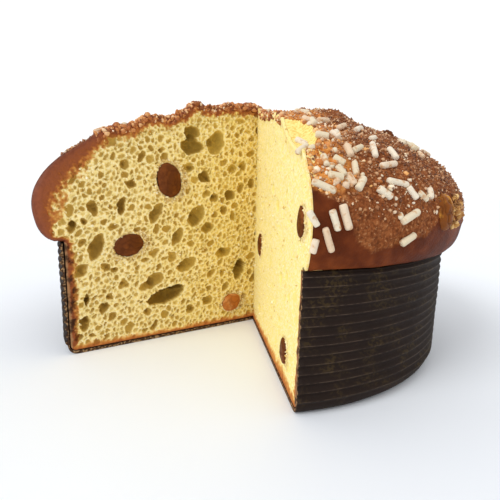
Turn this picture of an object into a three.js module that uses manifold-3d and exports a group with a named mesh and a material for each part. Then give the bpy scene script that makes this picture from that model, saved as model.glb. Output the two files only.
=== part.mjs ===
// A low panettone in its ribbed paper case, with one wide slice cut out.
// Millimetres, +Z up. The origin is the centre of the round case on the surface it stands on,
// and the missing slice opens towards -Y.
import * as THREE from "three";
import { mergeVertices } from "three/addons/utils/BufferGeometryUtils.js";
import Module from "manifold-3d";

const wasm = await Module();
wasm.setup();

// Paper case
const CASE_RADIUS = 106;
const CASE_HEIGHT = 56;
const RIB_COUNT = 14;
const RIB_DEPTH = 1.1;
const PAPER = 0.7;
const BASE_THICKNESS = 1.6;
const CORNER_RADIUS = 4.5;
const INNER_CORNER_RADIUS = 3.2;
const CORNER_STEPS = 3;
const CASE_SEGMENTS = 44;

// Cake
const GAP = 0.3;
const LIP_HEIGHT = 56.5;
const BULGE_HEIGHT = 73;
const TOP_HEIGHT = 123;
const LIP = 8.2;
const LIP_LEAN = 1.5;
const LIP_LEAN_ANGLE = 219;
const LIP_PINCH = 4;
const LIP_PINCH_ANGLE = 305;
const LIP_PINCH_SPREAD = 20;
const CAKE_WALL_RADIUS = 103.6;
const CAKE_SEGMENTS = 64;
const BULGE_STEPS = 4;
const DOME_STEPS = 12;

// Missing slice: the corner where both cuts meet, and the direction of each cut in degrees
const CUT_CORNER = [3.1, 0.1];
const LEFT_CUT_ANGLE = 236.3;
const RIGHT_CUT_ANGLE = 303.7;
const CUT_REACH = 260;

// Crags on the upper crust
const CRAG_COUNT = 80;
const CRAG_SEED = 11;
const CRAG_LOWEST = 0.45;
const CRAG_GATHER = 0.7;
const CRAG_DIP = -1;
const CRAG_RANGE = 3.4;
const CRAG_NARROW = 5;
const CRAG_SPREAD = 8;
// Each crag that stands out against the background: angle, distance from the axis, height, width
const EDGE_CRAGS = [
  [238, 36, 4, 7],
  [242, 17, 3.6, 8],
  [240, 61, 3, 7],
  [237, 82, 2, 6],
  [334, 60, 2.5, 9],
];

// Sugar nibs: short rods lying on the crust
const NIB_COUNT = 98;
const NIB_SEED = 5;
const NIB_WIDTH = 3;
const NIB_SIDES = 6;
const NIB_REACH = 97;
const NIB_SINK = 0.25;
const NIB_BEVEL = 0.35;
const NIB_SHORTEST = 4.5;
const NIB_SPREAD = 5.5;
const NIB_CLEARANCE = 2.5;
const NIB_OVERLAP = 1.5;
const FRUIT_CLEARANCE = 12;
// Nibs that catch the eye: angle, height above the table, length, lean from the steepest way down
const NIBS_SEEN = [
  [309.5, 74.5, 7.5, 20],
  [311.5, 75.5, 9, 17],
  [308.5, 68, 9, 22],
  [305.5, 75, 6, 32],
  [306, 66, 5, -10],
  [305.8, 99, 7, -45],
  [308, 85.5, 9, 65],
  [309.5, 94, 5.5, 0],
  [312.5, 94, 4.5, 45],
  [311.5, 102.5, 5, 70],
  [316, 104, 5, 10],
  [316, 97.7, 6.5, -10],
  [319, 99, 7, -60],
  [323.5, 99, 11, -30],
  [324, 93.3, 9, -80],
  [328.5, 98, 7, -15],
  [323.8, 87, 9.5, 80],
  [319.7, 83.3, 6, 55],
  [326.7, 83.6, 5.5, 30],
  [329.5, 82.4, 5, 50],
  [332.3, 83.5, 4.5, -20],
  [325.2, 75.4, 9.5, -67],
  [325.4, 67.2, 7, -62],
  [313.7, 88, 5, 15],
  [315.5, 91.7, 6.5, -15],
  [315.4, 86.5, 6, -40],
  [312, 90.5, 4.5, 20],
  [310.5, 88.5, 5.5, 77],
  [314, 110, 7, -15],
  [323, 109, 9, -55],
  [330, 109, 9, -60],
  [345, 105, 6.5, -45],
  [344, 102, 7, -50],
  [343, 99, 5, -40],
  [308, 105, 6, 30],
  [234.6, 107.5, 7, 25],
  [232, 109.5, 6, -50],
  [234.3, 112, 6.5, 70],
  [231.5, 114, 7, -15],
  [233.5, 116.5, 5.5, 40],
  [229, 121, 6, -30],
];

// Bubbles of the crumb that open on the cut faces:
// distance out from the corner, height, length, width, lean of the length, depth
const LEFT_HOLES = [
  [40, 112, 10, 7, 0, 5],
  [40, 104.5, 13, 9, 0, 6],
  [26, 107, 14, 10, 60, 4],
  [73, 84, 6, 5, 0, 3],
  [78, 73, 10, 4.5, 80, 4],
  [92, 72, 9, 4.5, 105, 3],
  [61, 69, 13, 6, 62, 3],
  [38, 67, 13, 9, 50, 4],
  [31, 60, 8, 6, 30, 3],
  [91, 53, 15, 6.5, 68, 4],
  [99, 42, 9, 4.5, 40, 3],
  [64, 32, 15, 7, 30, 3],
  [56, 23.5, 22, 8.5, 13, 9],
  [44, 40, 13, 6.5, 25, 3],
  [49, 56, 12, 5, 62, 3],
  [21, 45, 11, 6, 8, 3],
  [10, 34, 13, 8, 70, 8],
  [17, 78, 7, 6, 0, 4],
  [33, 88, 8, 5.5, -30, 5],
  [98.5, 15, 8, 4.5, 75, 4],
  [89, 21, 6.5, 6, 0, 3],
  [31, 17, 7, 4.5, 10, 3],
];
const LEFT_EXTRA_HOLES = 12;
const RIGHT_EXTRA_HOLES = 10;
const HOLE_SEED = 23;
const HOLE_MARGIN = 9;
const HOLE_REACH = 86;
const HOLE_SHORTEST = 4.5;
const HOLE_SPREAD = 4.5;
const HOLE_SLIMMEST = 0.55;
const HOLE_SLIMNESS = 0.35;
const HOLE_LEAN = 20;
const HOLE_LEAN_SPREAD = 60;
const HOLE_DEPTH = 0.45;
const HOLE_APART = 1;
const HOLE_SIDES = 8;

// Raisins and peel on a cut face: name, distance out, height, width, height of the piece,
// thickness, lean, how far its middle lies behind the face
const LEFT_FRUIT = [
  ["raisin_left_upper", 53.5, 86, 13.5, 18.5, 12, 12, 0.6],
  ["raisin_left_lower", 75.7, 52.8, 15.5, 11.5, 10, 20, 0.6],
  ["peel_left_corner", 15.5, 13.6, 12.5, 10.5, 9, 15, 0.6],
];
const RIGHT_FRUIT = [
  ["raisin_right_high", 97, 72.5, 8, 12.5, 6, 0, 0.4],
  ["raisin_right_middle", 17, 51, 8.5, 13.5, 8, 0, 0.6],
  ["raisin_right_low", 79, 15.5, 9, 11.5, 8, 8, 0.6],
];
// The knife leaves the front of a fruit this much flatter than its back
const CUT_FRONT = 0.4;
const FRUIT_SWELL = 0.9;
const FRUIT_SWELL_RANGE = 0.16;
const LEFT_FRUIT_SEED = 31;
const RIGHT_FRUIT_SEED = 51;
const CRUST_FRUIT_SEED = 71;
const FRUIT_COLORS = { raisin: 0x5a2c16, peel: 0xc8772e };
// Raisins in the crust: name, angle, height above the table, width, height, thickness, sink
const CRUST_FRUIT = [
  ["raisin_crust_side", 337, 76.5, 12, 15, 9, 1.6],
  ["raisin_crust_top", 352, 109.5, 8, 7, 6, 0.6],
];

// Strip of crust torn away beside the right cut
const TEAR_OUT = 79;
const TEAR_LENGTH = 42;
const TEAR_WIDTH = 20;
const TEAR_DEPTH = 14;
const TEAR_SINK = 4.5;
const TEAR_LEAN = -28;

// Loose flakes baked on beside the raisin in the side: angle, height, radius
const FLAKES = [
  [342, 77.5, 3.4],
  [344.6, 74.5, 2.6],
  [343, 81.5, 2.4],
  [345.8, 78.8, 2],
  [340.8, 71.5, 2.6],
];
const FLAKE_TURN = 40;

const radians = THREE.MathUtils.degToRad;

function seededRandom(seed) {
  let state = seed;
  return () => {
    state = (1664525 * state + 1013904223) % 4294967296;
    return state / 4294967296;
  };
}

// The geometry with positions alone, so that vertices that lie together can merge
function bare(geometry) {
  return geometry.clone().deleteAttribute("normal").deleteAttribute("uv");
}

// A closed three.js geometry as a solid: shared vertices merged, empty triangles dropped
function solid(geometry) {
  const merged = mergeVertices(bare(geometry), 1e-4);
  const corners = merged.index.array;
  const kept = [];
  for (let i = 0; i < corners.length; i += 3) {
    const [a, b, c] = [corners[i], corners[i + 1], corners[i + 2]];
    if (a !== b && b !== c && c !== a) kept.push(a, b, c);
  }
  return new wasm.Manifold(
    new wasm.Mesh({
      numProp: 3,
      vertProperties: merged.attributes.position.array,
      triVerts: new Uint32Array(kept),
    }),
  );
}

function geometryOf(body) {
  const mesh = body.getMesh();
  const geometry = new THREE.BufferGeometry();
  geometry.setAttribute("position", new THREE.BufferAttribute(mesh.vertProperties, 3));
  geometry.setIndex(new THREE.BufferAttribute(mesh.triVerts, 1));
  geometry.computeVertexNormals();
  return geometry;
}

// The solid without the loose scraps that cuts leave
function largestBody(body) {
  const bodies = body.decompose();
  return bodies.reduce((best, next) => (next.volume() > best.volume() ? next : best));
}

function joined(bodies) {
  return bodies.reduce((sum, next) => sum.add(next));
}

// Crust

// How far the crust hangs out over the case, at an angle in degrees
function overhang(angle) {
  const fromPinch = ((angle - LIP_PINCH_ANGLE + 540) % 360) - 180;
  const pinch = LIP_PINCH * Math.exp(-((fromPinch / LIP_PINCH_SPREAD) ** 2));
  return LIP + LIP_LEAN * Math.cos(radians(angle - LIP_LEAN_ANGLE)) - pinch;
}

// A point of the smooth crust: steep runs from -PI/2 at the case's rim, by 0 at the widest, to PI/2 on top
function smoothCrust(angle, steep) {
  const lip = overhang(angle);
  const upper = steep >= 0;
  const radius = upper
    ? (CASE_RADIUS + lip) * Math.cos(steep)
    : CASE_RADIUS + lip * Math.cos(steep);
  const rise = upper ? TOP_HEIGHT - BULGE_HEIGHT : BULGE_HEIGHT - LIP_HEIGHT;
  return new THREE.Vector3(
    radius * Math.cos(radians(angle)),
    radius * Math.sin(radians(angle)),
    BULGE_HEIGHT + rise * Math.sin(steep),
  );
}

const TURN_STEP = 0.2;
const STEEP_STEP = 0.002;

// Outward direction of the smooth crust
function crustNormal(angle, steep) {
  const around = smoothCrust(angle + TURN_STEP, steep).sub(smoothCrust(angle - TURN_STEP, steep));
  const upward = smoothCrust(angle, steep + STEEP_STEP).sub(smoothCrust(angle, steep - STEEP_STEP));
  return around.cross(upward).normalize();
}

function steepAtHeight(height) {
  const rise = height >= BULGE_HEIGHT ? TOP_HEIGHT - BULGE_HEIGHT : BULGE_HEIGHT - LIP_HEIGHT;
  return Math.asin((height - BULGE_HEIGHT) / rise);
}

function steepAtRadius(angle, radius) {
  return Math.acos(Math.min(1, radius / (CASE_RADIUS + overhang(angle))));
}

function crags() {
  const random = seededRandom(CRAG_SEED);
  const list = EDGE_CRAGS.map(([angle, radius, height, width]) => ({
    centre: smoothCrust(angle, steepAtRadius(angle, radius)),
    height,
    width,
  }));
  for (let i = 0; i < CRAG_COUNT; i += 1) {
    const angle = 360 * random();
    const steep = CRAG_LOWEST + (Math.PI / 2 - CRAG_LOWEST) * random() ** CRAG_GATHER;
    const height = CRAG_DIP + CRAG_RANGE * random();
    const width = CRAG_NARROW + CRAG_SPREAD * random();
    list.push({ centre: smoothCrust(angle, steep), height, width });
  }
  return list;
}

const CRAGS = crags();

// Height of the crags over the smooth crust at a point of it
function cragHeight(point) {
  return CRAGS.reduce((sum, { centre, height, width }) => {
    const away = point.distanceTo(centre) / width;
    return sum + height * Math.exp(-away * away);
  }, 0);
}

function crust(angle, steep) {
  const point = smoothCrust(angle, steep);
  return point.addScaledVector(crustNormal(angle, steep), cragHeight(point));
}

// The top has no single angle, so its point is shared by all of them
function crustTop() {
  const point = new THREE.Vector3(0, 0, TOP_HEIGHT);
  return point.setZ(TOP_HEIGHT + cragHeight(point));
}

// Rounded corner between a flat floor and a wall, from the floor up
function roundCorner(wallRadius, floor, radius) {
  const points = [];
  for (let i = 0; i <= CORNER_STEPS; i += 1) {
    const turn = (Math.PI / 2) * (i / CORNER_STEPS);
    const out = wallRadius - radius + radius * Math.sin(turn);
    points.push(new THREE.Vector2(out, floor + radius - radius * Math.cos(turn)));
  }
  return points;
}

// Whole cake before it is cut
function wholeCake() {
  const floor = BASE_THICKNESS + GAP;
  const profile = [
    new THREE.Vector2(0, floor),
    ...roundCorner(CAKE_WALL_RADIUS, floor, INNER_CORNER_RADIUS - GAP),
    new THREE.Vector2(CAKE_WALL_RADIUS, LIP_HEIGHT),
  ];
  const steeps = [];
  for (let i = 0; i < BULGE_STEPS; i += 1) steeps.push((Math.PI / 2) * (i / BULGE_STEPS - 1));
  for (let i = 0; i < DOME_STEPS; i += 1) steeps.push((Math.PI / 2) * (i / DOME_STEPS));
  const firstCrust = profile.length;
  for (const steep of steeps) {
    const point = smoothCrust(0, steep);
    profile.push(new THREE.Vector2(Math.hypot(point.x, point.y), point.z));
  }
  profile.push(new THREE.Vector2(0, TOP_HEIGHT));
  const geometry = new THREE.LatheGeometry(profile, CAKE_SEGMENTS);
  geometry.rotateX(Math.PI / 2);
  const positions = geometry.attributes.position;
  const top = crustTop();
  for (let i = 0; i < positions.count; i += 1) {
    const row = i % profile.length;
    const turn = Math.floor(i / profile.length) % CAKE_SEGMENTS;
    const angle = (360 / CAKE_SEGMENTS) * turn - 90;
    if (row >= firstCrust) {
      const last = row === profile.length - 1;
      const point = last ? top : crust(angle, steeps[row - firstCrust]);
      positions.setXYZ(i, point.x, point.y, point.z);
    }
  }
  return solid(geometry);
}

// Cuts

function missingSlice() {
  const shape = new THREE.Shape();
  shape.moveTo(0, 0);
  for (const angle of [LEFT_CUT_ANGLE, RIGHT_CUT_ANGLE]) {
    shape.lineTo(CUT_REACH * Math.cos(radians(angle)), CUT_REACH * Math.sin(radians(angle)));
  }
  const geometry = new THREE.ExtrudeGeometry(shape, { depth: CUT_REACH, bevelEnabled: false });
  geometry.translate(CUT_CORNER[0], CUT_CORNER[1], -CUT_REACH / 4);
  return solid(geometry);
}

// Each cut face: its direction, and whether that runs to the right (1) or left (-1) as one looks at it
const LEFT_FACE = { angle: LEFT_CUT_ANGLE, rightward: -1 };
const RIGHT_FACE = { angle: RIGHT_CUT_ANGLE, rightward: 1 };

// Puts a shape made round the origin on a cut face. Seen from the missing slice, its x runs to the
// right, its y up and its z out of the face. Lean turns it about z, behind sets it into the crumb.
function onFace(geometry, face, out, up, lean, behind) {
  const along = new THREE.Vector3(Math.cos(radians(face.angle)), Math.sin(radians(face.angle)), 0);
  const rightward = along.clone().multiplyScalar(face.rightward);
  const upward = new THREE.Vector3(0, 0, 1);
  const open = new THREE.Vector3().crossVectors(rightward, upward);
  const spot = new THREE.Vector3(CUT_CORNER[0], CUT_CORNER[1], up);
  spot.addScaledVector(along, out).addScaledVector(open, -behind);
  const place = new THREE.Matrix4().makeBasis(rightward, upward, open).setPosition(spot);
  return geometry.applyMatrix4(new THREE.Matrix4().makeRotationZ(radians(lean))).applyMatrix4(place);
}

function bubble(face, [out, up, length, width, lean, depth]) {
  const ball = new THREE.SphereGeometry(1, HOLE_SIDES, 4);
  ball.rotateX(Math.PI / 2);
  ball.scale(length / 2, width / 2, depth);
  return solid(onFace(ball, face, out, up, lean, 0));
}

// Height of the crumb under the crust, at a distance out from the corner
function crumbTop(face, out) {
  const x = CUT_CORNER[0] + out * Math.cos(radians(face.angle));
  const y = CUT_CORNER[1] + out * Math.sin(radians(face.angle));
  const angle = THREE.MathUtils.radToDeg(Math.atan2(y, x));
  return smoothCrust(angle, steepAtRadius(angle, Math.hypot(x, y))).z;
}

// More bubbles by a seeded rule, clear of the rim, the fruit and each other
function extraHoles(face, count, taken, seed) {
  const random = seededRandom(seed);
  const list = [];
  while (list.length < count) {
    const out = HOLE_MARGIN + HOLE_REACH * random();
    const up = HOLE_MARGIN + (crumbTop(face, out) - 2 * HOLE_MARGIN) * random();
    const length = HOLE_SHORTEST + HOLE_SPREAD * random() ** 2;
    const width = length * (HOLE_SLIMMEST + HOLE_SLIMNESS * random());
    const lean = HOLE_LEAN + HOLE_LEAN_SPREAD * random();
    const clear = [...taken, ...list].every((other) => {
      const apart = Math.hypot(other[0] - out, other[1] - up);
      return apart > HOLE_APART + (Math.max(other[2], other[3]) + length) / 2;
    });
    if (clear) list.push([out, up, length, width, lean, HOLE_DEPTH * width]);
  }
  return list;
}

// Fruit

// A wrinkled raisin or lump of peel round the origin, its front flattened by a share; grown makes the
// socket it sits in
function fruitShape(width, height, thickness, front, seed, grown) {
  const random = seededRandom(seed);
  const ball = mergeVertices(bare(new THREE.IcosahedronGeometry(1, 1)));
  const positions = ball.attributes.position;
  for (let i = 0; i < positions.count; i += 1) {
    const swell = FRUIT_SWELL + FRUIT_SWELL_RANGE * random();
    const depth = (positions.getZ(i) > 0 ? front : 1) * (thickness / 2);
    positions.setXYZ(
      i,
      positions.getX(i) * (swell * (width / 2) + grown),
      positions.getY(i) * (swell * (height / 2) + grown),
      positions.getZ(i) * (swell * depth + grown),
    );
  }
  return ball;
}

// Sits a shape made round the origin on the crust: x round the cake, y up the slope, z outwards
function onCrust(geometry, angle, steep, turn, sink) {
  const out = crustNormal(angle, steep);
  const around = new THREE.Vector3(-Math.sin(radians(angle)), Math.cos(radians(angle)), 0);
  const slope = new THREE.Vector3().crossVectors(out, around).normalize();
  const across = new THREE.Vector3().crossVectors(slope, out);
  const spot = crust(angle, steep).addScaledVector(out, -sink);
  const place = new THREE.Matrix4().makeBasis(across, slope, out).setPosition(spot);
  return geometry.applyMatrix4(new THREE.Matrix4().makeRotationZ(radians(turn))).applyMatrix4(place);
}

function faceFruit(face, list, firstSeed) {
  return list.map(([name, out, up, width, height, thickness, lean, behind], index) => {
    const shape = (grown) => {
      const fruit = fruitShape(width, height, thickness, CUT_FRONT, firstSeed + index, grown);
      return onFace(fruit, face, out, up, lean, behind);
    };
    return { name, piece: shape(0), socket: solid(shape(GAP)) };
  });
}

function crustFruit() {
  return CRUST_FRUIT.map(([name, angle, up, width, height, thickness, sink], index) => {
    const shape = (grown) => {
      const fruit = fruitShape(width, height, thickness, 1, CRUST_FRUIT_SEED + index, grown);
      return onCrust(fruit, angle, steepAtHeight(up), 0, sink);
    };
    return { name, piece: shape(0), socket: solid(shape(GAP)) };
  });
}

// Sugar nibs

function inSlice(point) {
  const angle = THREE.MathUtils.radToDeg(Math.atan2(point.y - CUT_CORNER[1], point.x - CUT_CORNER[0]));
  const turned = (angle + 360) % 360;
  return turned > LEFT_CUT_ANGLE && turned < RIGHT_CUT_ANGLE;
}

// Distance to the nearer cut, measured beside the missing slice
function pastCut(point) {
  return Math.min(
    ...[LEFT_FACE, RIGHT_FACE].map(({ angle }) => {
      const x = point.x - CUT_CORNER[0];
      const y = point.y - CUT_CORNER[1];
      const along = x * Math.cos(radians(angle)) + y * Math.sin(radians(angle));
      const aside = Math.abs(y * Math.cos(radians(angle)) - x * Math.sin(radians(angle)));
      return along > 0 ? aside : Math.hypot(x, y);
    }),
  );
}

function nibPlaces() {
  const random = seededRandom(NIB_SEED);
  const places = NIBS_SEEN.map(([angle, up, length, lean]) => {
    const steep = steepAtHeight(up);
    return { angle, steep, length, lean, spot: smoothCrust(angle, steep) };
  });
  const fruit = CRUST_FRUIT.map(([, angle, up]) => smoothCrust(angle, steepAtHeight(up)));
  while (places.length < NIB_COUNT) {
    const angle = 360 * random();
    const steep = steepAtRadius(angle, NIB_REACH * Math.sqrt(random()));
    const length = NIB_SHORTEST + NIB_SPREAD * random();
    const lean = 180 * random();
    const spot = smoothCrust(angle, steep);
    const clear =
      !inSlice(spot) &&
      pastCut(spot) > NIB_CLEARANCE &&
      fruit.every((other) => other.distanceTo(spot) > FRUIT_CLEARANCE) &&
      places.every((other) => other.spot.distanceTo(spot) > (other.length + length) / 2 - NIB_OVERLAP);
    if (clear) places.push({ angle, steep, length, lean, spot });
  }
  return places;
}

function nib({ angle, steep, length, lean }) {
  const half = length / 2;
  const radius = NIB_WIDTH / 2;
  const bevel = radius * NIB_BEVEL;
  const profile = [
    new THREE.Vector2(0, -half),
    new THREE.Vector2(radius, bevel - half),
    new THREE.Vector2(radius, half - bevel),
    new THREE.Vector2(0, half),
  ];
  const rod = new THREE.LatheGeometry(profile, NIB_SIDES);
  return solid(onCrust(rod, angle, steep, lean, NIB_SINK * radius));
}

function flake([angle, up, radius]) {
  const lump = new THREE.IcosahedronGeometry(radius, 0);
  return solid(onCrust(lump, angle, steepAtHeight(up), FLAKE_TURN * radius, 0));
}

// The tear: a long shallow scoop over the right cut's top edge
function tear() {
  const scoop = new THREE.IcosahedronGeometry(1, 2);
  scoop.scale(TEAR_LENGTH / 2, TEAR_DEPTH / 2, TEAR_WIDTH / 2);
  const lift = TEAR_DEPTH / 2 - TEAR_SINK;
  const up = crumbTop(RIGHT_FACE, TEAR_OUT) + lift;
  return solid(onFace(scoop, RIGHT_FACE, TEAR_OUT, up, TEAR_LEAN, 0));
}

// Pieces

const slice = missingSlice();
const fruits = [
  ...faceFruit(LEFT_FACE, LEFT_FRUIT, LEFT_FRUIT_SEED),
  ...faceFruit(RIGHT_FACE, RIGHT_FRUIT, RIGHT_FRUIT_SEED),
  ...crustFruit(),
];

function cakeSolid() {
  const fruitSpots = (list) => list.map(([, out, up, width, height]) => [out, up, width, height]);
  const leftHoles = [
    ...LEFT_HOLES,
    ...extraHoles(LEFT_FACE, LEFT_EXTRA_HOLES, [...LEFT_HOLES, ...fruitSpots(LEFT_FRUIT)], HOLE_SEED),
  ];
  const rightHoles = extraHoles(RIGHT_FACE, RIGHT_EXTRA_HOLES, fruitSpots(RIGHT_FRUIT), HOLE_SEED + 1);
  const holes = joined([
    ...leftHoles.map((hole) => bubble(LEFT_FACE, hole)),
    ...rightHoles.map((hole) => bubble(RIGHT_FACE, hole)),
  ]);
  const toppings = joined([...nibPlaces().map(nib), ...FLAKES.map(flake)]);
  const sockets = joined(fruits.map(({ socket }) => socket));
  const cut = wholeCake().subtract(slice).subtract(tear()).subtract(holes);
  return largestBody(cut.add(toppings).subtract(sockets));
}

function caseSolid() {
  const trough = CASE_RADIUS - RIB_DEPTH;
  const inner = trough - PAPER;
  const profile = [new THREE.Vector2(0, 0), ...roundCorner(trough, 0, CORNER_RADIUS)];
  const pitch = (CASE_HEIGHT - CORNER_RADIUS) / RIB_COUNT;
  for (let i = 0; i < RIB_COUNT; i += 1) {
    const foot = CORNER_RADIUS + i * pitch;
    profile.push(new THREE.Vector2(CASE_RADIUS, foot + pitch / 2));
    profile.push(new THREE.Vector2(trough, foot + pitch));
  }
  profile.push(new THREE.Vector2(inner, CASE_HEIGHT));
  profile.push(...roundCorner(inner, BASE_THICKNESS, INNER_CORNER_RADIUS).reverse());
  profile.push(new THREE.Vector2(0, BASE_THICKNESS));
  const geometry = new THREE.LatheGeometry(profile, CASE_SEGMENTS);
  geometry.rotateX(Math.PI / 2);
  return solid(geometry).subtract(slice);
}

function piece(name, geometry, color, roughness) {
  const material = new THREE.MeshStandardMaterial({ color, roughness, metalness: 0 });
  const mesh = new THREE.Mesh(geometry, material);
  mesh.name = name;
  return mesh;
}

const panettone = new THREE.Group();
panettone.add(piece("paper_case", geometryOf(caseSolid()), 0x2b211c, 0.75));
panettone.add(piece("cake", geometryOf(cakeSolid()), 0xe8c860, 0.85));
for (const fruit of fruits) {
  panettone.add(piece(fruit.name, fruit.piece, FRUIT_COLORS[fruit.name.split("_")[0]], 0.5));
}

export default panettone;
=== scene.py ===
"""A low panettone in its ribbed paper case, with one wide slice cut out.

The crumb, the crust, the glaze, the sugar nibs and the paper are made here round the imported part.
Sizes are in millimetres and angles in degrees, as in the part's own source, and turn into metres
where a mesh is finished.
"""
import math

import bmesh
import bpy
import numpy as np
from mathutils import Matrix, Vector, noise


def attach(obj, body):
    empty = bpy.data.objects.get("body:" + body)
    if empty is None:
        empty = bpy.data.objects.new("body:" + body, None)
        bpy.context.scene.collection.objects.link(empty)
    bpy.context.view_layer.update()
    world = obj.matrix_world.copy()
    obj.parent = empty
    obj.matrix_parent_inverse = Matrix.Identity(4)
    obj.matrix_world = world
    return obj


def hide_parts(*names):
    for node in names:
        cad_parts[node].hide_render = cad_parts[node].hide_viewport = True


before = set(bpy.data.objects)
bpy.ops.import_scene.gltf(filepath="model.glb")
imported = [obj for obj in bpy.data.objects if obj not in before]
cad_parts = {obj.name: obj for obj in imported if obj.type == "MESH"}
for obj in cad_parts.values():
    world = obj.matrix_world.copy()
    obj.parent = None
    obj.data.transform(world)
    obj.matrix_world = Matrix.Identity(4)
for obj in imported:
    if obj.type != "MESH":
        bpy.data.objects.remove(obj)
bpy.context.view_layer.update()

MM = 0.001

# Paper case
CASE_RADIUS = 106
CASE_HEIGHT = 56
RIB_COUNT = 14
RIB_DEPTH = 1.1
RIB_POINTS = 8
PAPER = 0.7
BASE_THICKNESS = 1.6
CORNER_RADIUS = 4.5
INNER_CORNER_RADIUS = 3.2
CASE_TURNS = 230

# Cake
GAP = 0.3
BASE_TOP = BASE_THICKNESS + GAP + 1.2
LIP_HEIGHT = 56.5
BULGE_HEIGHT = 73
TOP_HEIGHT = 123
LIP = 8.2
LIP_LEAN = 1.5
LIP_LEAN_ANGLE = 219
LIP_PINCH = 4
LIP_PINCH_ANGLE = 305
LIP_PINCH_SPREAD = 20
CAKE_WALL_RADIUS = 103.6

# Missing slice: the corner where both cuts meet, and the direction of each cut
CUT_CORNER = np.array([3.1, 0.1])
LEFT_CUT_ANGLE = 236.3
RIGHT_CUT_ANGLE = 303.7
TURN_ROUND = 292.6
HALF_SLICE = 33.7

# Crags: the ones that show against the background (angle, distance from the axis, height, width),
# and how many more, how tall and how wide
EDGE_CRAGS = [
    (238, 36, 4, 7),
    (242, 17, 3.6, 8),
    (240, 61, 3, 7),
    (237, 82, 2, 6),
    (334, 60, 2.5, 9),
]
CRAG_COUNT = 80
CRAG_SEED = 11
CRAG_LOWEST, CRAG_GATHER = 0.45, 0.7
CRAG_DIP, CRAG_RANGE = -1, 3.4
CRAG_NARROW, CRAG_SPREAD = 5, 8

# Sugar nibs
NIB_COUNT = 98
NIB_SEED = 5
NIB_WIDTH = 3
NIB_REACH = 97
NIB_SHORTEST, NIB_SPREAD = 4.5, 5.5
NIB_CLEARANCE, NIB_OVERLAP = 2.5, 1.5
FRUIT_CLEARANCE = 12
NIBS_SEEN = [
    (309.5, 74.5, 7.5, 20), (311.5, 75.5, 9, 17), (308.5, 68, 9, 22), (305.5, 75, 6, 32),
    (306, 66, 5, -10), (305.8, 99, 7, -45), (308, 85.5, 9, 65), (309.5, 94, 5.5, 0), (312.5, 94, 4.5, 45),
    (311.5, 102.5, 5, 70), (316, 104, 5, 10), (316, 97.7, 6.5, -10), (319, 99, 7, -60),
    (323.5, 99, 11, -30), (324, 93.3, 9, -80), (328.5, 98, 7, -15), (323.8, 87, 9.5, 80),
    (319.7, 83.3, 6, 55), (326.7, 83.6, 5.5, 30), (329.5, 82.4, 5, 50), (332.3, 83.5, 4.5, -20),
    (325.2, 75.4, 9.5, -67), (325.4, 67.2, 7, -62), (313.7, 88, 5, 15), (315.5, 91.7, 6.5, -15),
    (315.4, 86.5, 6, -40), (312, 90.5, 4.5, 20), (310.5, 88.5, 5.5, 77), (314, 110, 7, -15),
    (323, 109, 9, -55), (330, 109, 9, -60), (345, 105, 6.5, -45), (344, 102, 7, -50), (343, 99, 5, -40),
    (308, 105, 6, 30), (234.6, 107.5, 7, 25), (232, 109.5, 6, -50), (234.3, 112, 6.5, 70),
    (231.5, 114, 7, -15), (233.5, 116.5, 5.5, 40), (229, 121, 6, -30),
]

# Larger bubbles at the left cut: distance out, height, length, width, lean, depth
LEFT_HOLES = [
    (40, 112, 10, 7, 0, 5),
    (40, 104.5, 13, 9, 0, 6),
    (26, 107, 14, 10, 60, 4),
    (73, 84, 6, 5, 0, 3),
    (78, 73, 10, 4.5, 80, 4),
    (92, 72, 9, 4.5, 105, 3),
    (61, 69, 13, 6, 62, 3),
    (38, 67, 13, 9, 50, 4),
    (31, 60, 8, 6, 30, 3),
    (91, 53, 15, 6.5, 68, 4),
    (99, 42, 9, 4.5, 40, 3),
    (64, 32, 15, 7, 30, 3),
    (56, 23.5, 22, 8.5, 13, 9),
    (44, 40, 13, 6.5, 25, 3),
    (49, 56, 12, 5, 62, 3),
    (21, 45, 11, 6, 8, 3),
    (10, 34, 13, 8, 70, 8),
    (17, 78, 7, 6, 0, 4),
    (33, 88, 8, 5.5, -30, 5),
    (98.5, 15, 8, 4.5, 75, 4),
    (89, 21, 6.5, 6, 0, 3),
    (31, 17, 7, 4.5, 10, 3),
]
# Middling bubbles at the left cut: distance out, height, width, height
LEFT_POCKETS = [
    (102, 8, 4, 4), (95, 8, 4, 3), (97, 16, 4, 3), (71, 61, 4.6, 3.6), (86, 27, 4, 4), (78, 32, 4, 3),
    (21, 70, 5, 5), (83, 41, 4, 4), (67, 44, 4, 3), (87, 42, 4, 4), (27, 77, 6, 6), (9, 95, 6, 5),
    (63, 102, 3, 3.5), (11, 120, 6, 3), (97, 27, 3, 7), (67, 16, 5, 4), (3, 85, 5, 6), (76, 93, 6, 4.4),
    (43, 92, 7, 5), (96, 66, 4, 4), (102, 64, 4, 6),
]
LEFT_EXTRA_HOLES = 12
RIGHT_EXTRA_HOLES = 10
HOLE_SEED = 23
HOLE_MARGIN, HOLE_REACH = 9, 86
HOLE_SHORTEST, HOLE_SPREAD = 4.5, 4.5
HOLE_SLIMMEST, HOLE_SLIMNESS = 0.55, 0.35
HOLE_LEAN, HOLE_LEAN_SPREAD = 20, 60
HOLE_DEPTH = 0.45
HOLE_APART = 1
# Dark hollows that run on inside larger bubbles
DEEP_HOLLOWS = [(50.5, 26.6, 11, 4.6, 18, 13), (8.5, 36.5, 5, 6, 80, 13), (40, 109, 6, 5, 0, 8)]
# The foam between them, packed largest first: radius of the bubbles, and the most there are of it
FOAM = [
    (2.6, 6), (2.1, 16), (1.7, 46), (1.35, 130), (1.05, 420),
    (0.82, 1100), (0.64, 2600), (0.5, 5200), (0.4, 9000),
]
FOAM_STRETCH = 1.4
INNER_BUBBLES = 3
FOAM_LEAN = 55
FOAM_WALL = 0.12

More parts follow.
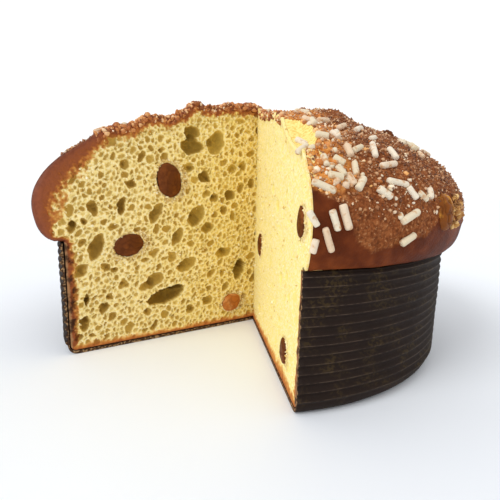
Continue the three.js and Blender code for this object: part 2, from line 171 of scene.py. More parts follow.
# Fruit at each cut: name, distance out, height, width, height of the piece, thickness, lean, depth
FRUIT = {
    "left": [
        ("raisin_left_upper", 53.5, 86, 13.5, 18.5, 12, 12, 0.6),
        ("raisin_left_lower", 75.7, 52.8, 15.5, 11.5, 10, 20, 0.6),
        ("peel_left_corner", 15.5, 13.6, 12.5, 10.5, 9, 15, 0.6),
    ],
    "right": [
        ("raisin_right_high", 97, 72.5, 8, 12.5, 6, 0, 0.4),
        ("raisin_right_middle", 17, 51, 8.5, 13.5, 8, 0, 0.6),
        ("raisin_right_low", 79, 15.5, 9, 11.5, 8, 8, 0.6),
    ],
}
CUT_FRONT = 0.4
# Fruit in the crust: name, angle, height above the table, width, height, thickness, sink
CRUST_FRUIT = [
    ("raisin_crust_side", 337, 76.5, 12, 15, 9, 1.6),
    ("raisin_crust_top", 352, 109.5, 8, 7, 6, 0.6),
]
FLAKES = [(342, 77.5, 3.4), (344.6, 74.5, 2.6), (343, 81.5, 2.4), (345.8, 78.8, 2), (340.8, 71.5, 2.6)]

# Strip of crust torn away beside the right cut
TEAR_OUT = 79
TEAR_LENGTH = 42
TEAR_WIDTH = 20
TEAR_DEPTH = 14
TEAR_SINK = 4.5
TEAR_LEAN = -28

# Lower border of the glaze: angle, height above the table
GLAZE_BORDER = [
    (303.7, 88), (304.2, 87), (306, 84), (309, 82), (310.5, 80), (312, 76), (313.5, 70), (315, 66),
    (317.7, 62), (320.7, 64), (323.6, 66), (327, 67.6), (331, 68), (333, 71.5), (335, 79), (341, 82),
    (346, 76), (353, 70), (362, 72), (372, 82), (384, 78), (398, 69), (413, 74), (430, 84), (447, 76),
    (462, 70), (478, 80), (494, 86), (509, 77), (524, 72), (541, 80), (556, 78), (572, 88), (584, 95),
    (596.3, 98),
]

# Amber glaze: how far behind the right cut, from and to which height and distance out, from and to
# which x at the left, the size of its patches
AMBER_BEHIND = 24
AMBER_HEIGHTS = (76, 90)
AMBER_OUT = (-45, 5)
AMBER_LEFT = (20, -40)
AMBER_PATCH = 16

# What lies on the crust: how many grains and crystals are tried, how many sugar crumbs there are, and
# how many bits make a flake
GRAIN_DRAWS = 32000
CRYSTAL_DRAWS = 8000
SUGAR_CRUMBS = 260
FLAKE_BITS = 60
# Radii of it: the least, the spread, and how strongly most keep to the least
GRAIN_RADII = (0.22, 0.6, 3)
CRYSTAL_RADII = (0.5, 0.9, 2)
EDGE_CRUMB_RADII = (0.35, 0.75, 2)
SUGAR_CRUMB_RADII = (0.45, 0.75, 2)
FLAKE_BIT_RADII = (0.3, 0.75, 1.5)
CRUMB_BIT_RADII = (0.2, 0.45, 2)
# The crumbs along the left cut are pale past this x
PALE_EDGE = -48

# Browned band of each cut face: (height, width) along the crust and along the wall, width along the
# base, how dark the crust's part is
BAKE_BANDS = {
    "left": (
        [(56.5, 2.5), (59, 7), (64, 12.5), (88, 13.5), (97, 11), (104, 8), (110, 6)],
        [(0, 5)], 3.6, 1,
    ),
    "right": ([(0, 1.3)], [(0, 6), (25, 3.5), (50, 1.6)], 5.5, 0.16),
}
# From and to how far out the left face gets painted bounce light (a warmer yellow near the corner, from the
# lit right face), and how far in torn crust shows
BOUNCE_LIGHT_OUT = (5, 80)
TORN_REACH = 7
# Each cut face: side, how deep its small and its large bubbles are, how many bits of crumb
CUT_FACES = [("left", 1.0, 1.0, 2600), ("right", 0.12, 0.5, 500)]
# Crumbs along a cut: side, how many, from and to how far out
EDGE_CRUMBS = [("left", 1900, -4, 90), ("right", 350, -2, 60)]

# Mesh fineness
CRUST_COLUMNS = 580
CRUST_ROWS = 150
CELL = 0.38
EDGE_STEPS = 40
TOP_STEPS = 420
SECTION_STEPS = 4000

# Where crust and crumb meet: the round edges of the crust, how far the crumb runs on past the corner
# and back behind its face, and how far the crust's rim is led in behind it
CUT_ROUNDING = 1.0
LOBE_ROUNDING = 4.0
LOBE_TOP = 96
PAST_CORNER = 8
SLAB_DEPTH = 16
TUCK = 19
TUCK_INSET = 0.96
CRUST_INSIDE = (0, 25, 50)
SLAB_MIDDLE = (50, 60, 0)
# Steps of a slab's rim behind its cut face: how far behind, and how much smaller
SLAB_RIM = [(2.5 + LOBE_ROUNDING, 0.985), (SLAB_DEPTH, 0.93)]

# Camera and light
CAMERA_PLACE = (98.0, -211.3, 86.7)
CAMERA_AIM = (-0.4133, 0.8930, -0.1780)
CAMERA_ROLL = 1.25
CAMERA_LENS = 27.52
SENSOR = 36
KEY_TURN = 241
KEY_RISE = 40
KEY_SPREAD = 28
KEY_POWER = 1.25
FILL = 0.88
WHITE_SEEN = 1.1
FLOOR_REACH = 3000


# Numbers

def seeded_random(seed):
    """The same draws as the part's own source makes"""
    state = seed
    while True:
        state = (1664525 * state + 1013904223) % 4294967296
        yield state / 4294967296


def smoothstep(low, high, value):
    share = np.clip((value - low) / (high - low), 0, 1)
    return share * share * (3 - 2 * share)


def turned(x, y, angle):
    """Two axes, or the coordinates along them, after a turn by an angle in radians"""
    return x * math.cos(angle) + y * math.sin(angle), y * math.cos(angle) - x * math.sin(angle)


def lumps(points, size, seed=0, octaves=2):
    """Fractal noise at each point, about -1 to 1, whose lumps are about `size` mm"""
    shift = Vector((13.1 * seed, 7.7 * seed, 3.9 * seed))
    scaled = np.asarray(points) / size
    return np.array([noise.fractal(Vector(p) + shift, 1.0, 2.0, octaves) for p in scaled.tolist()])


def cells(points, size, seed=0):
    """Distance to the nearest of scattered middles, as a share of `size` mm: 0 at a middle"""
    shift = Vector((5.3 * seed, 9.1 * seed, 1.7 * seed))
    scaled = np.asarray(points) / size
    return np.array([noise.voronoi(Vector(p) + shift)[0][0] for p in scaled.tolist()])


# Form of the crust

def overhang(angle):
    from_pinch = (angle - LIP_PINCH_ANGLE + 540) % 360 - 180
    pinch = LIP_PINCH * np.exp(-((from_pinch / LIP_PINCH_SPREAD) ** 2))
    return LIP + LIP_LEAN * np.cos(np.radians(angle - LIP_LEAN_ANGLE)) - pinch


def crust_rise(upper):
    """Height of the upper or the lower part of the crust"""
    return np.where(upper, TOP_HEIGHT - BULGE_HEIGHT, BULGE_HEIGHT - LIP_HEIGHT)


def smooth_crust(angle, steep):
    """A point of the smooth crust: steep runs from -pi/2 at the case's rim to pi/2 on top"""
    lip = overhang(angle)
    upper = np.asarray(steep) >= 0
    radius = np.where(upper, (CASE_RADIUS + lip) * np.cos(steep), CASE_RADIUS + lip * np.cos(steep))
    turn = np.radians(angle)
    height = BULGE_HEIGHT + crust_rise(upper) * np.sin(steep)
    return np.stack([radius * np.cos(turn), radius * np.sin(turn), height], -1)


def crust_normal(angle, steep):
    lip = overhang(angle)
    upper = np.asarray(steep) >= 0
    level = np.cos(steep) / np.where(upper, CASE_RADIUS + lip, lip)
    rise = np.sin(steep) / crust_rise(upper)
    turn = np.radians(angle)
    normal = np.stack([level * np.cos(turn), level * np.sin(turn), rise], -1)
    return normal / np.linalg.norm(normal, axis=-1, keepdims=True)


def steep_at_height(height):
    return math.asin((height - BULGE_HEIGHT) / crust_rise(height >= BULGE_HEIGHT))


def steep_at_radius(angle, radius):
    return np.arccos(np.minimum(1, radius / (CASE_RADIUS + overhang(angle))))


def crust_over(spots):
    """Angle and steepness of the upper crust over places given by x and y"""
    angle = np.degrees(np.arctan2(spots[:, 1], spots[:, 0]))
    return angle, steep_at_radius(angle, np.hypot(spots[:, 0], spots[:, 1]))


def make_crags():
    draw = seeded_random(CRAG_SEED)
    spots = []
    for angle, radius, height, width in EDGE_CRAGS:
        spots.append((smooth_crust(angle, steep_at_radius(angle, radius)), height, width))
    for _ in range(CRAG_COUNT):
        angle = 360 * next(draw)
        steep = CRAG_LOWEST + (math.pi / 2 - CRAG_LOWEST) * next(draw) ** CRAG_GATHER
        height = CRAG_DIP + CRAG_RANGE * next(draw)
        width = CRAG_NARROW + CRAG_SPREAD * next(draw)
        spots.append((smooth_crust(angle, steep), height, width))
    return spots


CRAGS = make_crags()


def crag_height(points):
    total = np.zeros(len(points))
    for centre, height, width in CRAGS:
        away = np.linalg.norm(points - centre, axis=1) / width
        total += height * np.exp(-away * away)
    return total


def glaze_cover(points):
    """How far the glaze covers the crust at points of it: 0 bare, 1 covered"""
    angle = (np.degrees(np.arctan2(points[:, 1], points[:, 0])) - RIGHT_CUT_ANGLE) % 360 + RIGHT_CUT_ANGLE
    border_angles, border_heights = zip(*GLAZE_BORDER)
    border = np.interp(angle, border_angles, border_heights)
    above = points[:, 2] - border + 1.6 * lumps(points, 7, 21)
    return smoothstep(-0.5, 1.1, above)


def tear_frame():
    """Middle of the tear, and the directions of its length, depth and width"""
    along, upward, opening = face_directions("right")
    length, depth = turned(along, upward, math.radians(TEAR_LEAN))
    lift = TEAR_DEPTH / 2 - TEAR_SINK
    middle = np.array([*CUT_CORNER, crumb_top("right", TEAR_OUT) + lift]) + along * TEAR_OUT
    return middle, length, depth, opening


def crust_points(angle, steep):
    """The finished crust at each angle and steepness: places, how much glaze, how much is torn"""
    smooth = smooth_crust(angle, steep)
    normal = crust_normal(angle, steep)
    cover = glaze_cover(smooth)
    bulk = crag_height(smooth) + 0.35 * lumps(smooth, 14, 3)
    coarse = 0.75 * lumps(smooth, 5, 5) + 0.5 * (0.5 - cells(smooth, 3.4, 2))
    rough = 0.45 * lumps(smooth, 2.2, 8) - 0.1
    places = smooth + normal * (bulk + cover * (coarse + rough))[:, None]
    middle, length, depth, opening = tear_frame()
    away = places - middle
    x = away @ length / (TEAR_LENGTH / 2)
    y = away @ depth / (TEAR_DEPTH / 2)
    z = away @ opening / (TEAR_WIDTH / 2)
    inside = x * x + z * z
    floor = -np.sqrt(np.clip(1 - inside, 0, 1))
    drop = np.where((inside < 1) & (y > floor) & (y < 1.5), floor - y, 0)
    places = places + depth * (drop * TEAR_DEPTH / 2)[:, None]
    torn = smoothstep(0.05, 0.5, -drop * TEAR_DEPTH / 2)
    ragged = np.where(torn > 0, 0.15 * lumps(places, 5, 15), 0)
    places = places + normal * (ragged * torn)[:, None]
    return places, cover * (1 - torn), torn


# Form of the cuts

FACES = {"left": (LEFT_CUT_ANGLE, -1), "right": (RIGHT_CUT_ANGLE, 1)}


def face_directions(side):
    """Away from the corner along the cut, up, and out of the cut face"""
    angle, rightward = FACES[side]
    turn = math.radians(angle)
    along = np.array([math.cos(turn), math.sin(turn), 0])
    upward = np.array([0.0, 0.0, 1.0])
    return along, upward, np.cross(along * rightward, upward)


def from_cut(side, points):
    """How far out along a cut points lie, and how far behind it"""
    along, _, opening = face_directions(side)
    away = points[:, :2] - CUT_CORNER
    return away @ along[:2], -away @ opening[:2]


def crumb_top(side, out):
    along, _, _ = face_directions(side)
    spot = CUT_CORNER + out * along[:2]
    angle = math.degrees(math.atan2(spot[1], spot[0]))
    return float(smooth_crust(angle, steep_at_radius(angle, math.hypot(*spot)))[2])


def extra_holes(side, count, taken, seed):
    """The same further bubbles as the part has"""
    draw = seeded_random(seed)
    holes = []
    while len(holes) < count:
        out = HOLE_MARGIN + HOLE_REACH * next(draw)
        up = HOLE_MARGIN + (crumb_top(side, out) - 2 * HOLE_MARGIN) * next(draw)
        length = HOLE_SHORTEST + HOLE_SPREAD * next(draw) ** 2
        width = length * (HOLE_SLIMMEST + HOLE_SLIMNESS * next(draw))
        lean = HOLE_LEAN + HOLE_LEAN_SPREAD * next(draw)
        clear = True
        for other in taken + holes:
            apart = math.hypot(other[0] - out, other[1] - up)
            clear = clear and apart > HOLE_APART + (max(other[2], other[3]) + length) / 2
        if clear:
            holes.append((out, up, length, width, lean, HOLE_DEPTH * width))
    return holes


def face_holes(side):
    spots = [(out, up, width, height) for _, out, up, width, height, *_ in FRUIT[side]]
    if side == "right":
        return extra_holes(side, RIGHT_EXTRA_HOLES, spots, HOLE_SEED + 1)
    pockets = [(out, up, width, height, 0, 0.5 * height) for out, up, width, height in LEFT_POCKETS]
    more = extra_holes(side, LEFT_EXTRA_HOLES, LEFT_HOLES + spots, HOLE_SEED)
    return LEFT_HOLES + DEEP_HOLLOWS + pockets + more


def lobe_rounding(side, height):
    """How far behind the cut the crust begins: the left lobe has a broad round edge"""
    if side == "right":
        return CUT_ROUNDING + 0 * height
    return CUT_ROUNDING + (LOBE_ROUNDING - CUT_ROUNDING) * (1 - smoothstep(LOBE_TOP - 12, LOBE_TOP, height))


def radius_along(start, direction, target):
    """Distance from start along a direction to where the distance from the axis is target"""
    ahead = start[..., 0] * direction[..., 0] + start[..., 1] * direction[..., 1]
    square = start[..., 0] ** 2 + start[..., 1] ** 2
    return -ahead + np.sqrt(np.maximum(ahead * ahead + target * target - square, 0))


def crust_ray(start, direction, steep):
    """Where the level ray from start meets the crust at a steepness below 0: angle and distance"""
    target = np.full(steep.shape, CASE_RADIUS + LIP)
    for _ in range(5):
        reach = radius_along(start, direction, target)
        x = start[..., 0] + reach * direction[..., 0]
        y = start[..., 1] + reach * direction[..., 1]
        angle = np.degrees(np.arctan2(y, x))
        target = CASE_RADIUS + overhang(angle) * np.cos(np.minimum(steep, 0))
    return angle, reach


def upper_crust(side, outs, behinds):
    """Angle and steepness of the upper crust at distances out along a cut and behind it"""
    along, _, opening = face_directions(side)
    spots = np.multiply.outer(outs, along[:2]) - np.multiply.outer(behinds, opening[:2])
    return crust_over(spots + CUT_CORNER)


def crust_edge(side):
    """The crust's outline at a cut, from the case's rim to past the corner: (out, up, how torn)"""
    along, _, opening = face_directions(side)
    steeps = np.linspace(-math.pi / 2, 0, EDGE_STEPS)
    heights = BULGE_HEIGHT + (BULGE_HEIGHT - LIP_HEIGHT) * np.sin(steeps)
    start = CUT_CORNER - opening[:2] * lobe_rounding(side, heights)[:, None]
    angle, reach = crust_ray(start, np.broadcast_to(along[:2], start.shape), steeps)
    outs = np.linspace(reach[-1], -PAST_CORNER, TOP_STEPS)[1:]
    guess = np.sqrt(np.clip(1 - (outs / reach[-1]) ** 2, 0, 1))
    rounding = lobe_rounding(side, BULGE_HEIGHT + (TOP_HEIGHT - BULGE_HEIGHT) * guess)
    top_angle, top_steep = upper_crust(side, outs, rounding)
    places, _, torn = crust_points(np.append(angle, top_angle), np.append(steeps, top_steep))
    return np.stack([from_cut(side, places)[0], places[:, 2], torn], -1)


def cut_outline(side):
    """Closed outline of the crumb at a cut, anticlockwise: (out, up, how torn)"""
    along, _, _ = face_directions(side)
    wall = float(radius_along(CUT_CORNER, along[:2], np.array(CAKE_WALL_RADIUS)))
    floor = BASE_THICKNESS + GAP
    corner = INNER_CORNER_RADIUS - GAP
    turns = np.linspace(0, math.pi / 2, 8)
    points = [(-PAST_CORNER, floor, 0)]
    for t in turns:
        points.append((wall - corner + corner * math.sin(t), floor + corner - corner * math.cos(t), 0))
    points.append((wall, LIP_HEIGHT, 0))
    edge = crust_edge(side)
    points += [row for row in edge.tolist() if row[0] > -PAST_CORNER]
    points.append((-PAST_CORNER, points[-1][1], 0))
    return np.array(points)


def nearest_on(outline, points):
    """For each point: is it inside the outline, the nearest point of it, the distance, how torn"""
    best = np.full(len(points), 1e9)
    near = np.zeros_like(points)
    torn = np.zeros(len(points))
    inside = np.zeros(len(points), bool)
    x, y = points[:, 0], points[:, 1]
    for first, last in zip(outline, np.roll(outline, -1, axis=0)):
        start, end = first[:2], last[:2]
        step = end - start
        size = step @ step
        if size < 1e-12:
            continue
        share = np.clip(((points - start) @ step) / size, 0, 1)
        spot = start + share[:, None] * step
        away = np.sum((points - spot) ** 2, axis=1)
        closer = away < best
        best[closer] = away[closer]
        near[closer] = spot[closer]
        torn[closer] = max(first[2], last[2])
        crosses = (start[1] > y) != (end[1] > y)
        if step[1]:
            inside ^= crosses & (x < start[0] + (y - start[1]) / step[1] * step[0])
    return inside, near, np.sqrt(best), torn


# Meshes

def unit_grid(across, up):
    """A grid of quads, with the place of each vertex from 0 to 1 across and up"""
    bm = bmesh.new()
    bmesh.ops.create_grid(bm, x_segments=across, y_segments=up, size=1)
    places = np.array([v.co[:2] for v in bm.verts])
    low, high = places.min(0), places.max(0)
    return bm, (places - low) / (high - low)


def coordinates(bm):
    return np.array([v.co[:] for v in bm.verts])


def place_vertices(bm, places):
    for vertex, place in zip(bm.verts, places.tolist()):
        vertex.co = place


def mark(bm, **numbers):
    """Keeps numbers on each vertex, which the materials read by name"""
    for name, values in numbers.items():
        layer = bm.verts.layers.float.new(name)
        for vertex, value in zip(bm.verts, np.asarray(values).tolist()):
            vertex[layer] = value


def add_object(name, data):
    thing = bpy.data.objects.new(name, data)
    bpy.context.scene.collection.objects.link(thing)
    return thing


def finish_piece(bm, name):
    """Turns a bmesh in millimetres into an object in metres"""
    bmesh.ops.recalc_face_normals(bm, faces=bm.faces)
    mesh = bpy.data.meshes.new(name)
    bm.to_mesh(mesh)
    bm.free()
    mesh.transform(Matrix.Scale(MM, 4))
    mesh.polygons.foreach_set("use_smooth", [True] * len(mesh.polygons))
    return add_object(name, mesh)


def open_rim(bm):
    return [e for e in bm.edges if e.is_boundary]


def extend_rim(bm):
    """Extrudes the open rim of a shell and gives its new vertices"""
    made = bmesh.ops.extrude_edge_only(bm, edges=open_rim(bm))["geom"]
    return [g for g in made if isinstance(g, bmesh.types.BMVert)]


def close_to(bm, middle):
    """Closes the one open edge loop of a shell with a fan to a point inside"""
    cap = bmesh.ops.edgeloop_fill(bm, edges=open_rim(bm))["faces"]
    centre = bmesh.ops.poke(bm, faces=cap, center_mode="MEAN")["verts"][0]
    centre.co = middle


def scattered(name, template, places, turns, tints, shake=0.0):
    """Joins many copies of a small shape into one mesh; turns holds a 3 x 3 matrix for each copy"""
    corners = coordinates(template)
    template.verts.ensure_lookup_table()
    faces = np.array([[v.index for v in f.verts] for f in template.faces])
    template.free()
    spots = np.einsum("nij,vj->nvi", turns, corners) + places[:, None, :]
    if shake:
        flat = spots.reshape(-1, 3)
        flat += shake * np.stack([lumps(flat, 2.5, seed, 1) for seed in (31, 32, 33)], -1)
    count = len(places)
    offsets = (np.arange(count) * len(corners))[:, None, None]
    mesh = bpy.data.meshes.new(name)
    joined = (faces[None] + offsets).reshape(-1, faces.shape[1])
    mesh.from_pydata((spots.reshape(-1, 3) * MM).tolist(), [], joined.tolist())
    mesh.attributes.new("tint", "FLOAT", "POINT").data.foreach_set("value", np.repeat(tints, len(corners)))
    mesh.polygons.foreach_set("use_smooth", [True] * len(mesh.polygons))
    return add_object(name, mesh)


# Crust

def crust_rows():
    """Steepness of each row of the crust, evenly far apart along its section"""
    dense = np.linspace(-math.pi / 2, math.pi / 2, SECTION_STEPS)
    section = smooth_crust(np.zeros_like(dense), dense)
    lengths = np.append(0, np.cumsum(np.linalg.norm(np.diff(section, axis=0), axis=1)))
    return np.interp(np.linspace(0, lengths[-1], CRUST_ROWS + 1), lengths, dense)


def make_crust():
    bm, place = unit_grid(CRUST_COLUMNS, CRUST_ROWS)
    steep = crust_rows()[np.round(place[:, 1] * CRUST_ROWS).astype(int)]
    shift = CUT_ROUNDING / math.sin(math.radians(HALF_SLICE))
    start = np.broadcast_to(CUT_CORNER + (0, shift), (len(steep), 2))
    turn = np.radians(RIGHT_CUT_ANGLE - 360 + TURN_ROUND * place[:, 0])
    span = CASE_RADIUS + LIP
    from_left = np.radians(LEFT_CUT_ANGLE) - turn
    upper = steep > 0
    height = BULGE_HEIGHT + crust_rise(upper) * np.sin(steep)
    extra = lobe_rounding("left", height) - CUT_ROUNDING
    turn = turn - extra / span * (1 - smoothstep(0, 18 / span, from_left))
    direction = np.stack([np.cos(turn), np.sin(turn)], -1)
    angle, reach = crust_ray(start, direction, steep)
    spots = start + direction * (reach * np.where(upper, np.cos(steep), 1))[:, None]
    over_angle, over_steep = crust_over(spots)
    angle = np.where(upper, over_angle, angle)
    steep = np.where(upper, over_steep, steep)
    places, cover, torn = crust_points(angle, steep)
    place_vertices(bm, places)
    mark(bm, glaze=cover, torn=torn, amber=amber_share(places))
    apex = [v for v, up in zip(bm.verts, place[:, 1]) if up > 1 - 1e-6]
    bmesh.ops.remove_doubles(bm, verts=apex, dist=1)
    tuck_in(bm)
    close_to(bm, CRUST_INSIDE)
    return finish_piece(bm, "crust")


def tuck_in(bm):
    """Leads the crust's open rim back behind both crumb slabs, just under its own skin"""
    corner = Vector((*CUT_CORNER, 0))
    for vertex in extend_rim(bm):
        away = vertex.co - corner
        shift = Vector((0, 0, 0))
        nearest = TUCK
        for side in FACES:
            along, _, opening = (Vector(direction) for direction in face_directions(side))
            behind = -away.dot(opening)
            if away.dot(along) > -PAST_CORNER and abs(behind) < nearest:
                nearest = abs(behind)
                shift = -opening * (TUCK - behind)
        moved = corner + (away + shift) * TUCK_INSET
        drop = 5 * float(smoothstep(LIP_HEIGHT + 4, LIP_HEIGHT + 14, vertex.co.z)) - 1
        vertex.co = (moved.x, moved.y, vertex.co.z - drop)


def amber_share(points):
    """How orange the glaze is: most beside the right cut, some on top at the left"""
    out, behind = from_cut("right", points)
    beside = np.exp(-((behind / AMBER_BEHIND) ** 2)) * smoothstep(*AMBER_HEIGHTS, points[:, 2])
    beside = beside * smoothstep(*AMBER_OUT, out)
    left = 0.45 * smoothstep(*AMBER_LEFT, points[:, 0])
    patches = 0.5 + 0.5 * lumps(points, AMBER_PATCH, 41)
    return np.clip(beside + left * patches + 0.25 * (patches - 0.5), 0, 1)


# Crumb at the cuts

def own_ellipse(x, y, length, width, lean):
    """Distance from the middle of a leaning ellipse, 1 on its rim"""
    ahead, aside = turned(x, y, math.radians(lean))
    return np.hypot(ahead / (length / 2), aside / (width / 2))


def foam_depth(side, outs, ups, foam, holes):
    """Depth of the opened bubbles below the cut, on a regular raster of the face"""
    _, rightward = FACES[side]
    flat = np.stack([outs.ravel(), ups.ravel(), np.full(outs.size, 50.0 if side == "left" else 90.0)], -1)
    sway = 1.2 * lumps(flat, 5, 51) + 0.4 * lumps(flat, 1.7, 54)
    rise = 1.2 * lumps(flat, 5, 52) + 0.4 * lumps(flat, 1.7, 55)
    x = rightward * (outs + sway.reshape(outs.shape))
    y = ups + rise.reshape(outs.shape)
    close = smoothstep(-0.2, 0.5, lumps(flat, 13, 56))
    depth = np.zeros(outs.shape)
    gap = np.full(outs.shape, 5.0)
    random = np.random.default_rng(7 if side == "left" else 8)
    for out, up, length, width, lean, deep in face_holes(side):
        ring = own_ellipse(x - rightward * out, y - up, length, width, lean)
        depth = np.maximum(depth, holes * deep * np.sqrt(np.clip(1 - ring * ring, 0, 1)))
        gap = np.minimum(gap, (ring - 1) * width / 2 - FOAM_WALL)
        for _ in range(INNER_BUBBLES):
            x_off, y_off = random.uniform(-0.3, 0.3, 2) * (length, width)
            radius = width * random.uniform(0.16, 0.34)
            away = np.hypot(x - rightward * out - x_off, y - up - y_off) / radius
            bowl = 0.5 * radius * np.sqrt(np.clip(1 - away * away, 0, 1))
            depth = depth + holes * bowl * smoothstep(0.05, 0.3, 1 - ring)
    ahead, aside = turned(x, y, math.radians(FOAM_LEAN))
    ahead = ahead / FOAM_STRETCH
    rows, columns = outs.shape
    for radius, most in FOAM:
        reach = int(3.5 * radius / CELL) + 1
        room = gap.ravel() - (0.35 * radius * close if radius < 1.5 else 0)
        middles = np.flatnonzero(room >= radius * (1 if radius < 0.7 else 1 + 0.25 * close))
        random.shuffle(middles)
        made = 0
        for row, column in zip(*np.unravel_index(middles, outs.shape)):
            if gap[row, column] < radius:
                continue
            window = (
                slice(max(row - reach, 0), min(row + reach + 1, rows)),
                slice(max(column - reach, 0), min(column + reach + 1, columns)),
            )
            turn = math.pi * random.random()
            slim = random.uniform(0.78, 1)
            x_off, y_off = ahead[window] - ahead[row, column], aside[window] - aside[row, column]
            along, across = turned(x_off, y_off, turn)
            away = np.hypot(along * slim, across / slim)
            deep = foam * random.uniform(0.7, 1.5)
            bowl = deep * np.sqrt(np.clip(radius * radius - away * away, 0, None))
            depth[window] = np.maximum(depth[window], bowl)
            gap[window] = np.minimum(gap[window], away - radius - FOAM_WALL)
            made += 1
            if made == most:
                break
    floors = 0.26 * lumps(flat, 0.9, 57) + 0.2 * lumps(flat, 2.4, 58)
    return depth + foam * (floors + 0.1).reshape(outs.shape) * smoothstep(0.1, 0.9, depth)


def bake_band(side, near):
    """How far the browned band reaches in from the outline at its nearest point, and how dark it is"""
    up = near[:, 1]
    crust, wall, low, dark = BAKE_BANDS[side]
    above = up > LIP_HEIGHT - 0.5
    width = np.where(above, np.interp(up, *zip(*crust)), np.interp(up, *zip(*wall)))
    base = up < BASE_TOP
    return np.where(base, low, width), np.where(base, 0.5, np.where(above, dark, 0.85))


def make_cut_face(side, foam, holes):
    """The crumb at one cut: a slab whose front has the bubbles and whose rim is the baked crust;
    foam and holes say how deep the small and the large bubbles are"""
    outline = cut_outline(side)
    low, high = outline[:, :2].min(0) - CELL, outline[:, :2].max(0) + CELL
    columns, rows = (int(n) for n in np.ceil((high - low) / CELL))
    bm, place = unit_grid(columns, rows)
    flat = low + place * np.array([columns, rows]) * CELL
    outs, ups = np.meshgrid(low[0] + CELL * np.arange(columns + 1), low[1] + CELL * np.arange(rows + 1))
    index = np.round(place * np.array([columns, rows])).astype(int)
    depth = foam_depth(side, outs, ups, foam, holes)[index[:, 1], index[:, 0]]
    inside, near, away, torn = nearest_on(outline, flat)
    past = near[:, 0] <= -PAST_CORNER + 0.01
    away_from_crust = np.where(past, 50, away)
    solid = np.stack([flat[:, 0], flat[:, 1], np.full(len(flat), 20.0 if side == "left" else 70.0)], -1)
    width, dark = bake_band(side, near)
    width = width * (1 + 0.3 * lumps(solid, 6, 61) + 0.4 * lumps(solid, 1.8, 62))
    bake = np.clip(1 - away_from_crust / width, 0, 1) * (1 - torn)
    scorch = bake * (near[:, 1] < LIP_HEIGHT) * (near[:, 1] > BASE_TOP)
    dense = np.where(near[:, 1] < LIP_HEIGHT, 0.3, 0.92) * smoothstep(0.2, 0.55, bake)
    depth = depth * (1 - dense) * smoothstep(0.2, 2.4, away_from_crust)
    stain = np.zeros(len(flat))
    _, rightward = FACES[side]
    for _, out, up, width, height, thickness, lean, _ in FRUIT[side]:
        x, y = rightward * (flat[:, 0] - out), flat[:, 1] - up
        ring = own_ellipse(x, y, width - 0.5, height - 0.5, lean)
        socket = thickness / 2 * np.sqrt(np.clip(1 - ring * ring, 0, 1))
        beside = smoothstep(1.0, 1.25, ring)
        depth = np.maximum(depth * (0.25 + 0.75 * beside), socket)
        damp = own_ellipse(x - 1.6, y, width + 3, height + 1, lean) + 0.22 * lumps(solid, 2.5, 66)
        stain = np.maximum(stain, 1 - smoothstep(0.9, 1.25, damp))
    # hollow: how deep the bubbles are, which the crumb finish turns into painted shade
    hollow = 1 - np.exp(-depth / 1.1)
    undulation = 0.4 * lumps(solid, 16, 63) + 0.14 * lumps(solid, 1.1, 64) + 0.25 * lumps(solid, 4, 65)
    edge = np.where(past | (near[:, 1] < LIP_HEIGHT), 0.5, lobe_rounding(side, near[:, 1]))
    inward = np.clip(edge - away_from_crust, 0, None)
    rounding = edge - np.sqrt(np.clip(edge * edge - inward * inward, 0, None))
    depth = depth + (undulation + 0.5) * smoothstep(0, 4, away_from_crust) + rounding
    kept = inside | (away < 0.6 * CELL)
    snapped = np.where((away < 0.6 * CELL)[:, None], near, flat)
    place_vertices(bm, np.column_stack([snapped, depth]))
    # Painted bounce light: a warmer yellow on the left face near the corner, where the lit right face
    # throws light on it
    warm = (1 - smoothstep(*BOUNCE_LIGHT_OUT, flat[:, 0])) * (side == "left")
    torn = torn * (1 - smoothstep(0, TORN_REACH, away))
    mark(bm, hollow=hollow, bake=bake * dark, scorch=scorch, warm=warm, stain=stain, torn=torn)
    bmesh.ops.delete(bm, geom=[v for v, keep in zip(bm.verts, kept) if not keep], context="VERTS")
    bmesh.ops.delete(bm, geom=[v for v in bm.verts if not v.link_faces], context="VERTS")
    middle = Vector(SLAB_MIDDLE)
    for behind, inset in SLAB_RIM:
        for vertex in extend_rim(bm):
            vertex.co = middle + (vertex.co - middle) * inset
            vertex.co.z = behind
    bmesh.ops.edgeloop_fill(bm, edges=open_rim(bm))
    along, upward, opening = face_directions(side)
    flat = coordinates(bm)
    base = np.array([*CUT_CORNER, 0.0])
    place_vertices(bm, base + flat[:, :1] * along + flat[:, 1:2] * upward - flat[:, 2:3] * opening)
    return finish_piece(bm, f"crumb_{side}")


# Things on the crust

def in_slice(spot):
    angle = math.degrees(math.atan2(spot[1] - CUT_CORNER[1], spot[0] - CUT_CORNER[0])) % 360
    return LEFT_CUT_ANGLE < angle < RIGHT_CUT_ANGLE


def past_cut(spot):
    distances = []
    for side in FACES:
        along, _, opening = face_directions(side)
        away = np.array(spot[:2]) - CUT_CORNER
        ahead = float(away @ along[:2])
        distances.append(abs(float(away @ opening[:2])) if ahead > 0 else math.hypot(*away))
    return min(distances)


def nib_places():
    """The same nibs as the part has: angle, steepness, length, lean"""
    draw = seeded_random(NIB_SEED)
    places = []
    spots = []
    for angle, up, length, lean in NIBS_SEEN:
        steep = steep_at_height(up)
        places.append((angle, steep, length, lean))
        spots.append(smooth_crust(angle, steep))
    fruit = [smooth_crust(angle, steep_at_height(up)) for _, angle, up, *_ in CRUST_FRUIT]
    while len(places) < NIB_COUNT:
        angle = 360 * next(draw)
        steep = float(steep_at_radius(angle, NIB_REACH * math.sqrt(next(draw))))
        length = NIB_SHORTEST + NIB_SPREAD * next(draw)
        lean = 180 * next(draw)
        spot = smooth_crust(angle, steep)
        clear = not in_slice(spot) and past_cut(spot) > NIB_CLEARANCE
        for other in fruit:
            clear = clear and np.linalg.norm(other - spot) > FRUIT_CLEARANCE
        for other, place in zip(spots, places):
            clear = clear and np.linalg.norm(other - spot) > (place[2] + length) / 2 - NIB_OVERLAP
        if clear:
            places.append((angle, steep, length, lean))
            spots.append(spot)
    return places


